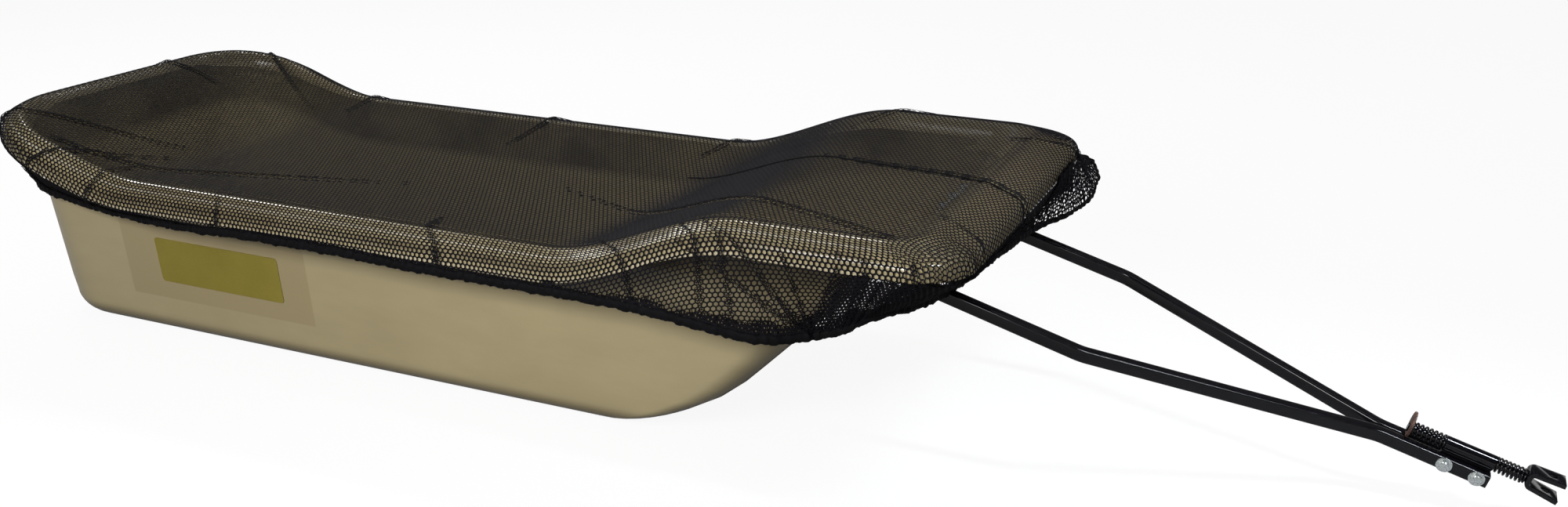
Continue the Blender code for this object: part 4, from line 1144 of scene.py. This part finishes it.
def knit_cloth(surface):
    """All layers of the net: the cloth, the doubled layers of its creases and the gathers at the hem."""

    def cloth(flat):
        moved, height = creased(flat)
        places, left = surface(moved)
        return places, left, height

    def gathers(hand, span):
        def placed(flat):
            places, left = surface.over_hem(flat, hand, span)
            return places, left, np.zeros(len(flat))
        return placed

    cells = honeycomb(*CLOTH_BOX)
    layers = [knit(cells, cloth)]
    centres = cells.mean(axis=1)
    for foot, direction, width, reach in CREASES:
        _, side, along, across = crease_frame(centres, foot, direction)
        taper = width * np.clip((reach - along) / (CREASE_TAPER * reach), 0, 1)
        chosen = cells[(np.abs(across) < taper) & (along > -CREASE_FOOT)]
        if not len(chosen):
            continue
        for flip, shift, lift in CREASE_LAYERS:
            way, side, along, across = crease_frame(chosen, foot, direction)
            along = along + shift * CELL
            across = across * flip * CREASE_SHRINK
            turned = np.array(foot) + along[..., None] * way + across[..., None] * side
            layers.append(knit(turned, cloth, lift))
    length = ring_length(surface.rings[-1])[-1] * GATHER_RATIO
    for hand, shift, lift, span in GATHER_LAYERS:
        band = honeycomb((shift * CELL, GATHER_BAND[0]), (length, GATHER_BAND[1]))
        layers.append(knit(band, gathers(hand, span), lift, GATHER_HOLE_SHARE))
    return layers


def net_panel(name, layers, chosen_by, mat):
    """One panel of the net: every cell whose middle the chooser takes. Gives its cloth and yarn area too."""
    verts, faces = [], []
    total = 0
    cloth = yarn = 0.0
    for corner, base, crest, hole_share in layers:
        middle = base[corner].mean(axis=1)
        chosen = corner[chosen_by(middle)]
        if not len(chosen):
            continue
        used, index = np.unique(chosen, return_inverse=True)
        index = index.reshape(-1, 6)
        around = base[chosen]
        centre = around.mean(axis=1, keepdims=True)
        holes = centre + (around - centre) * hole_share
        verts += [crest[used], holes.reshape(-1, 3)]
        hole = len(used) + np.arange(len(chosen) * 6).reshape(-1, 6)
        for number in range(6):
            after = (number + 1) % 6
            quad = (index[:, number], index[:, after], hole[:, after], hole[:, number])
            faces.append(total + np.column_stack(quad))
        total += len(used) + len(chosen) * 6
        cloth += len(chosen) * CELL_AREA
        yarn += len(chosen) * CELL_AREA * (1 - hole_share**2)
    return make_object(name, np.concatenate(verts), np.concatenate(faces), mat, ALL_SMOOTH), cloth, yarn


def make_hem(mat):
    """Gathered elastic hem: a soft flat tube, ruffled all round, in arcs that share their end rings."""
    line = hem_line(rim_surface(LIP, NET_OFF))
    length = ring_length(line)
    total = length[-1]
    spots = np.arange(HEM_STEPS + 1) * total / HEM_STEPS
    closed = np.vstack([line, line[:1]])
    middle = np.column_stack([np.interp(spots, length, closed[:, axis]) for axis in range(3)])
    normal = outward(middle[:-1, :2])
    normal = np.vstack([normal, normal[:1]])
    middle[:, :2] += normal * (waves(spots, total, GATHERS + RUFFLE) + HEM_OUT)[:, None]
    middle[:, 2] += waves(spots, total, DROOP)
    slim = HEM_SLIM
    for axis, (start, reach) in enumerate(HEM_SLIM_FROM):
        slim = slim * np.clip((middle[:, axis] - start) / reach, 0, 1)
    fat = (1 + waves(spots, total, FATNESS)) * (1 - slim)
    around = []
    for angle in round_turn(HEM_SIDES):
        frill = 1.0
        for lobes, height, turns in FRILL:
            frill = frill + height * np.sin(lobes * angle + turns * math.tau * spots / total)
        place = middle.copy()
        place[:, :2] += normal * (HEM_HALF[0] * math.cos(angle) * fat * frill)[:, None]
        place[:, 2] += HEM_HALF[1] * math.sin(angle) * fat * frill
        around.append(place)
    rings = np.array(around).transpose(1, 0, 2)
    at_bow = np.digitize(middle[:, 1], (-FOLLOWS_Y, FOLLOWS_Y)) + 1
    follow = np.where(middle[:, 0] > HEM_FOLLOWS_X, at_bow, 0)
    arcs = {}
    for number, name in enumerate(("hem_sides", "hem_right", "hem_front", "hem_left")):
        verts, faces = [], []
        for step in np.flatnonzero(follow[:-1] == number):
            faces += loft_faces(HEM_SIDES, 2, len(verts))
            verts += [*rings[step], *rings[step + 1]]
        arcs[name] = make_object(name, verts, faces, mat, ALL_SMOOTH)
        turn_outward(arcs[name], weld=True)
        arcs[name].data.shade_smooth()
    return arcs


def turn_outward(item, weld=False):
    """Turn the faces outward. Welding first joins the steps of an arc and closes its ends."""
    bm = bmesh.new()
    bm.from_mesh(item.data)
    if weld:
        bmesh.ops.remove_doubles(bm, verts=bm.verts, dist=1e-6)
        bmesh.ops.holes_fill(bm, edges=[edge for edge in bm.edges if edge.is_boundary], sides=0)
    bmesh.ops.recalc_face_normals(bm, faces=bm.faces)
    bm.to_mesh(item.data)
    bm.free()


def round_turn(steps):
    """Angles of a full turn in even steps."""
    return [math.tau * step / steps for step in range(steps)]


def loft(rings, closed=False):
    """Solid through rings of one size: capped at its ends, or with its last ring joined to its first."""
    count = len(rings[0])
    last = (len(rings) - 1) * count
    faces = loft_faces(count, len(rings))
    if closed:
        for index in range(count):
            after = (index + 1) % count
            faces.append((last + index, last + after, after, index))
    else:
        faces += [tuple(range(count - 1, -1, -1)), tuple(range(last, last + count))]
    return [point for one in rings for point in one], faces


def tube(path, radius, sides):
    """Round tube along points."""
    path = np.array(path)
    ahead = np.gradient(path, axis=0)
    ahead /= np.linalg.norm(ahead, axis=1, keepdims=True)
    normal = np.cross(ahead[0], (0.3, 0.5, 0.8))
    rings = []
    for place, way in zip(path, ahead):
        normal = normal - way * (normal @ way)
        normal /= np.linalg.norm(normal)
        across = np.cross(way, normal)
        rings.append([
            place + radius * (math.cos(turn) * normal + math.sin(turn) * across)
            for turn in round_turn(sides)
        ])
    return loft(rings)


def make_seam(surface, mat):
    """Seam across the front of the net, from end to end on the flat cloth."""
    share = np.linspace(0, 1, SEAM_STEPS)[:, None]
    moved, height = creased(np.array(SEAM[0]) * (1 - share) + np.array(SEAM[1]) * share)
    places, left = surface(moved)
    places[:, 2] += height + SEAM_LIFT
    verts, faces = tube(places[left > SEAM_SHORT], SEAM_RADIUS, SEAM_SIDES)
    return make_object("front_seam", verts, faces, mat, ALL_SMOOTH)


# Tow bar and hitch

BAR = Matrix.Translation(PIVOT) @ Matrix.Rotation(BAR_PITCH, 4, "Y")
ON_ROD = BAR @ Matrix.Translation((0, 0, ROD_Z))
QUARTER = math.radians(90)
SIXTH = math.radians(60)


def fillet(corners, radius, steps):
    """Path through corner points, each inner corner turned to an arc."""
    path = [Vector(corners[0])]
    for before, corner, after in zip(corners, corners[1:], corners[2:]):
        corner = Vector(corner)
        back = (Vector(before) - corner).normalized()
        ahead = (Vector(after) - corner).normalized()
        half = back.angle(ahead) / 2
        reach = radius / math.tan(half)
        centre = corner + (back + ahead).normalized() * (radius / math.sin(half))
        start = (corner + back * reach - centre).normalized()
        end = (corner + ahead * reach - centre).normalized()
        for step in range(steps + 1):
            path.append(centre + start.slerp(end, step / steps) * radius)
    path.append(Vector(corners[-1]))
    return path


def headings(path):
    """Each place of a path with its direction there."""
    for index, place in enumerate(path):
        ahead = path[min(index + 1, len(path) - 1)] - path[max(index - 1, 0)]
        yield place, ahead.normalized()


def square_section(size, corner, steps=5):
    points = []
    inner = size / 2 - corner
    for quarter, (a, b) in enumerate(((1, 1), (-1, 1), (-1, -1), (1, -1))):
        for step in range(steps + 1):
            angle = QUARTER * (quarter + step / steps)
            points.append((a * inner + corner * math.cos(angle), b * inner + corner * math.sin(angle)))
    return points


def lathe(profile, steps, closed=False, flats=math.inf):
    """Solid round local X from (x, radius) points, cut to a hexagon of a width across its flats."""
    rings = []
    for x, radius in profile:
        rings.append([])
        for angle in round_turn(steps):
            reach = min(radius, flats / 2 / math.cos(angle % SIXTH - SIXTH / 2))
            rings[-1].append((x, reach * math.cos(angle), reach * math.sin(angle)))
    return loft(rings, closed)


def prism(points, thickness):
    """Flat outline in x and z, thick along y."""
    return loft([[(x, y, z) for x, z in points] for y in (-thickness / 2, thickness / 2)])


def round_cutter(centre, axis, radius, depth):
    bm = bmesh.new()
    bmesh.ops.create_cone(
        bm, cap_ends=True, segments=CUTTER_STEPS, radius1=radius, radius2=radius, depth=depth
    )
    mesh = bpy.data.meshes.new("cutter")
    bm.to_mesh(mesh)
    bm.free()
    item = link_object("cutter", mesh)
    turn = Vector((0, 0, 1)).rotation_difference(Vector(axis)).to_matrix().to_4x4()
    item.matrix_world = Matrix.Translation(centre) @ turn
    item.hide_render = True
    return item


def finish(
    name, solid, mat, node, body="tow_bar",
    matrix=BAR, angle=30, edge=0, cutter=None,
):
    """Object in the bar's frame that stands for a node and rides on its body."""
    item = make_object(name, *solid, mat, angle)
    turn_outward(item)
    if cutter:
        hole = item.modifiers.new("hole", "BOOLEAN")
        hole.operation = "DIFFERENCE"
        hole.object = cutter
    if edge:
        round_edges(item, edge, 40)
        apply_modifiers(item)
        item.data.shade_smooth()
        item.data.set_sharp_from_angle(angle=math.radians(angle))
    if cutter:
        bpy.data.objects.remove(cutter, do_unlink=True)
    item.data.transform(matrix)
    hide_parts(node)
    if body:
        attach(item, body)
    return item


def make_arm(word, side, mat):
    """Hollow square tube with rounded corners, swept along its bends."""
    rear = [(x, side * ARM_Y, 0) for x in (-ARM_TAIL, REAR_BEND)]
    front = [(x, side * ARM_FRONT_Y, 0) for x in (FRONT_BEND, BAR_LENGTH)]
    path = fillet(rear + front, BEND_RADIUS, BEND_STEPS)
    outside = square_section(TUBE, TUBE_CORNER)
    inside = square_section(TUBE - 2 * TUBE_WALL, TUBE_CORNER / 2)
    rings = []
    for section, places in ((outside, list(headings(path))), (inside, list(headings(path))[::-1])):
        for place, ahead in places:
            across = Vector((0, 0, 1)).cross(ahead)
            rings.append([place + across * a + Vector((0, 0, b)) for a, b in section])
    finish(f"{word}_arm_tube", loft(rings, closed=True), mat, f"{word}_tow_arm", angle=50)


def make_sleeve(mat):
    start, end = SLEEVE_SPAN
    outer = SLEEVE_D / 2
    bore = ROD_D / 2 + SLEEVE_PLAY
    edge = SLEEVE_EDGE
    profile = [
        (start, bore + edge), (start, outer - edge), (start + edge, outer), (end - edge, outer),
        (end, outer - edge), (end, bore + edge), (end - edge, bore), (start + edge, bore),
    ]
    solid = lathe(profile, SLEEVE_STEPS, closed=True)
    finish("sleeve_tube", solid, mat, "shock_sleeve", matrix=ON_ROD, angle=25)


def make_rod(mat):
    """Rod with a broken edge behind, and a weld bead where it meets the clevis."""
    start = RETAINER_AT - ROD_TAIL
    radius = ROD_D / 2
    profile = [(start, radius - ROD_EDGE), (start + ROD_EDGE, radius)]
    profile += [(CLEVIS_AT - GAP - back, radius + rise) for back, rise in WELD_BEAD]
    finish("rod", lathe(profile, ROD_STEPS), mat, "shock_rod", "shock", matrix=ON_ROD)


def make_retainer(mat):
    """Round plate behind the rod's spring, cut flat below where it rides on the arms."""
    floor = TUBE / 2 + 2 * GAP - ROD_Z
    reach = math.degrees(math.asin((floor - RETAINER_LIFT) / RETAINER_RADIUS))
    points = []
    for angle in np.radians(np.linspace(reach, 180 - reach, RETAINER_STEPS + 1)):
        points.append((RETAINER_RADIUS * math.cos(angle), RETAINER_LIFT + RETAINER_RADIUS * math.sin(angle)))
    turn = Matrix.Rotation(QUARTER, 4, "Z")
    place = ON_ROD @ Matrix.Translation((RETAINER_AT + RETAINER_THICKNESS / 2, 0, 0)) @ turn
    cutter = round_cutter((0, 0, 0), (0, 1, 0), ROD_D / 2 + GAP / 2, 5 * RETAINER_THICKNESS)
    solid = prism(points, RETAINER_THICKNESS)
    finish(
        "retainer", solid, mat, "rear_retainer", "shock", place,
        edge=RETAINER_EDGE, cutter=cutter,
    )


def make_clevis(mat):
    """Bent strap with a pin hole through both ears, which splay toward their tips."""
    half = (CLEVIS_HEIGHT - STRAP) / 2
    middle = CLEVIS_AT + STRAP / 2
    tip = CLEVIS_AT + CLEVIS_LENGTH
    run = tip - middle
    corners = [
        (tip, CLEVIS_LIFT + half + run * math.tan(UPPER_SPLAY), 0),
        (middle, CLEVIS_LIFT + half, 0),
        (middle, CLEVIS_LIFT - half, 0),
        (tip, CLEVIS_LIFT - half - run * math.tan(LOWER_SPLAY), 0),
    ]
    outside, inside = [], []
    for place, ahead in headings(fillet(corners, CLEVIS_BEND - STRAP / 2, CLEVIS_BEND_STEPS)):
        off = Vector((-ahead.y, ahead.x, 0)) * STRAP / 2
        outside.append((place - off)[:2])
        inside.append((place + off)[:2])
    solid = prism(outside + inside[::-1], CLEVIS_WIDTH)
    cutter = round_cutter((tip - PIN_HOLE_BACK, 0, CLEVIS_LIFT), (0, 0, 1), PIN_HOLE_D / 2, 3 * CLEVIS_HEIGHT)
    finish(
        "clevis", solid, mat, "hitch_clevis", "shock",
        matrix=ON_ROD, angle=28, edge=CLEVIS_EDGE, cutter=cutter,
    )


def make_plate(mat):
    """Upright plate between the arms, its rear top corner cut off."""
    top = ROD_Z - SLEEVE_D / 2 - GAP
    start, end = SLEEVE_SPAN[0] - PLATE_BEHIND, SLEEVE_SPAN[1]
    chamfer = top - TUBE / 2 + PLATE_BEHIND
    points = [
        (start, -TUBE / 2), (end, -TUBE / 2), (end, top), (start + chamfer, top), (start, top - chamfer),
    ]
    finish("plate", prism(points, PLATE_THICKNESS), mat, "hitch_plate", edge=PLATE_EDGE)


def spring_path(start, end):
    """Coil along X between two faces, its last stretch at each end flat against the face."""
    radius = (SPRING_D - SPRING_WIRE) / 2
    turns = np.arange(0, SPRING_TURNS + 1e-6, SPRING_STEP)
    low, high = start + SPRING_WIRE / 2, end - SPRING_WIRE / 2
    x = np.interp(turns, (SPRING_FLAT, SPRING_TURNS - SPRING_FLAT), (low, high))
    angle = math.tau * turns
    return np.column_stack([x, radius * np.cos(angle), radius * np.sin(angle)])


def make_spring(word, held, pressed, mat):
    """Coil from the sleeve's end that holds it to the piece on the rod that presses it."""
    start, end = min(held, pressed) + GAP, max(held, pressed) - GAP
    solid = tube(spring_path(start, end), SPRING_WIRE / 2, WIRE_SIDES)
    item = finish(f"{word}_coil", solid, mat, f"{word}_spring", None, matrix=ON_ROD, angle=60)
    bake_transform(item)


def make_clamp_set(word, place, mat):
    """One clamp bolt with its washers and nut, head on the right."""
    face = ARM_FRONT_Y + TUBE / 2 + GAP
    outer = face + WASHER_THICKNESS + GAP
    length = 2 * outer + NUT_HEIGHT + BOLT_TAIL
    tip = HEAD_FLATS / math.sqrt(3)
    shank = BOLT_D / 2
    bore = shank + BOLT_PLAY
    rim = WASHER_D / 2
    bolt = [
        (-length, shank - BOLT_EDGE), (BOLT_EDGE - length, shank), (0, shank), (0, math.inf),
        (HEAD_HEIGHT * HEAD_STRAIGHT, math.inf),
    ]
    bolt += [(HEAD_HEIGHT * height, tip * reach) for height, reach in HEAD_ROUND]
    nut = [
        (0, bore), (0, tip * NUT_CHAMFER[0]), (NUT_SEAT, math.inf), (NUT_HEIGHT - BOLT_EDGE, math.inf),
        (NUT_HEIGHT, tip * NUT_CHAMFER[1]), (NUT_HEIGHT, bore),
    ]
    washer = [
        (0, bore), (0, rim - WASHER_EDGE), (WASHER_EDGE, rim), (WASHER_THICKNESS - WASHER_EDGE, rim),
        (WASHER_THICKNESS, rim - WASHER_EDGE), (WASHER_THICKNESS, bore),
    ]
    washer_solid = lathe(washer, WASHER_STEPS, closed=True)
    for piece, solid, side, distance in (
        ("bolt", lathe(bolt, BOLT_STEPS, flats=HEAD_FLATS), -1, outer),
        ("nut", lathe(nut, BOLT_STEPS, closed=True, flats=HEAD_FLATS), 1, outer),
        ("head_washer", washer_solid, -1, face),
        ("nut_washer", washer_solid, 1, face),
    ):
        turn = Matrix.Rotation(QUARTER * side, 4, "Z")
        seat = BAR @ Matrix.Translation((place, side * distance, 0)) @ turn
        finish(f"{word}_{piece}", solid, mat, f"{word}_clamp_{piece}", matrix=seat, angle=25)


# Build

make_camera()
make_world()
make_floor()
ALONG_SLED = (1, 0, 0)
ALONG_BAR = (math.cos(BAR_PITCH), 0, -math.sin(BAR_PITCH))
area_light("key", (0.30, -2.48, 1.48), (0.10, -0.2, 0.2), ALONG_SLED, (1.2, 0.9), 66)
area_light("back", (0.9, 2.4, 3.0), (0.1, 0.0, 0.3), ALONG_SLED, (3.2, 0.3), 8)
area_light("rim", (-1.6, 1.6, 2.7), (0.2, -0.3, 0.3), ALONG_SLED, (3.2, 0.26), 62)
area_light("glint", (2.95, -0.33, 2.74), (1.6, 0.0, 0.08), ALONG_BAR, (2.4, 0.20), 6.5, (0.86, 0.92, 1.0), 30)

net_yarn = knit_black("net", 1400.0, 0.35, 0.6)
hem_yarn = knit_black("hem", 900.0, 0.9, 0.3)
paint = black_paint()
spring_paint = black_paint("spring_paint", 0.9)
zinc_plate = zinc()

make_hull(hull_plastic())

surface = NetSurface()
layers = knit_cloth(surface)
panels = {name: net_panel(name, layers, chooser, net_yarn) for name, chooser in PANELS.items()}
hem = make_hem(hem_yarn)
seam = make_seam(surface, hem_yarn)
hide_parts("net_cover")
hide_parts("net_border")
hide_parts("net_hem")

WITH_PANEL = {
    "net_stern": [],
    "net_middle": [hem["hem_sides"]],
    "net_right": [hem["hem_right"]],
    "net_front": [hem["hem_front"], seam],
    "net_left": [hem["hem_left"]],
}
for name, (item, cloth, yarn) in panels.items():
    beside = WITH_PANEL[name]
    for piece in (item, *beside):
        if name in FOLLOW:
            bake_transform(piece)
        else:
            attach(piece, "sled")

for side, word in ((1, "left"), (-1, "right")):
    make_arm(word, side, paint)
make_plate(paint)
make_sleeve(paint)
make_rod(paint)
make_retainer(rusty_steel())
make_clevis(paint)
make_spring("rear", SLEEVE_SPAN[0], RETAINER_AT + RETAINER_THICKNESS, spring_paint)
make_spring("front", SLEEVE_SPAN[1], CLEVIS_AT, spring_paint)
for word, place in zip(("rear", "front"), CLAMP_AT):
    make_clamp_set(word, place, zinc_plate)

# Solids that stay as they are, with better materials
FINISH = {"black_paint": paint, "zinc": zinc_plate, "olive_label": olive_plate()}
for entry in frame["record"]["subparts"]:
    node = frame["nodes"][entry["node"]]
    if not node.hide_render:
        node.data.materials.clear()
        node.data.materials.append(FINISH[entry["material_slot"]])

bpy.context.scene.view_settings.view_transform = "Standard"
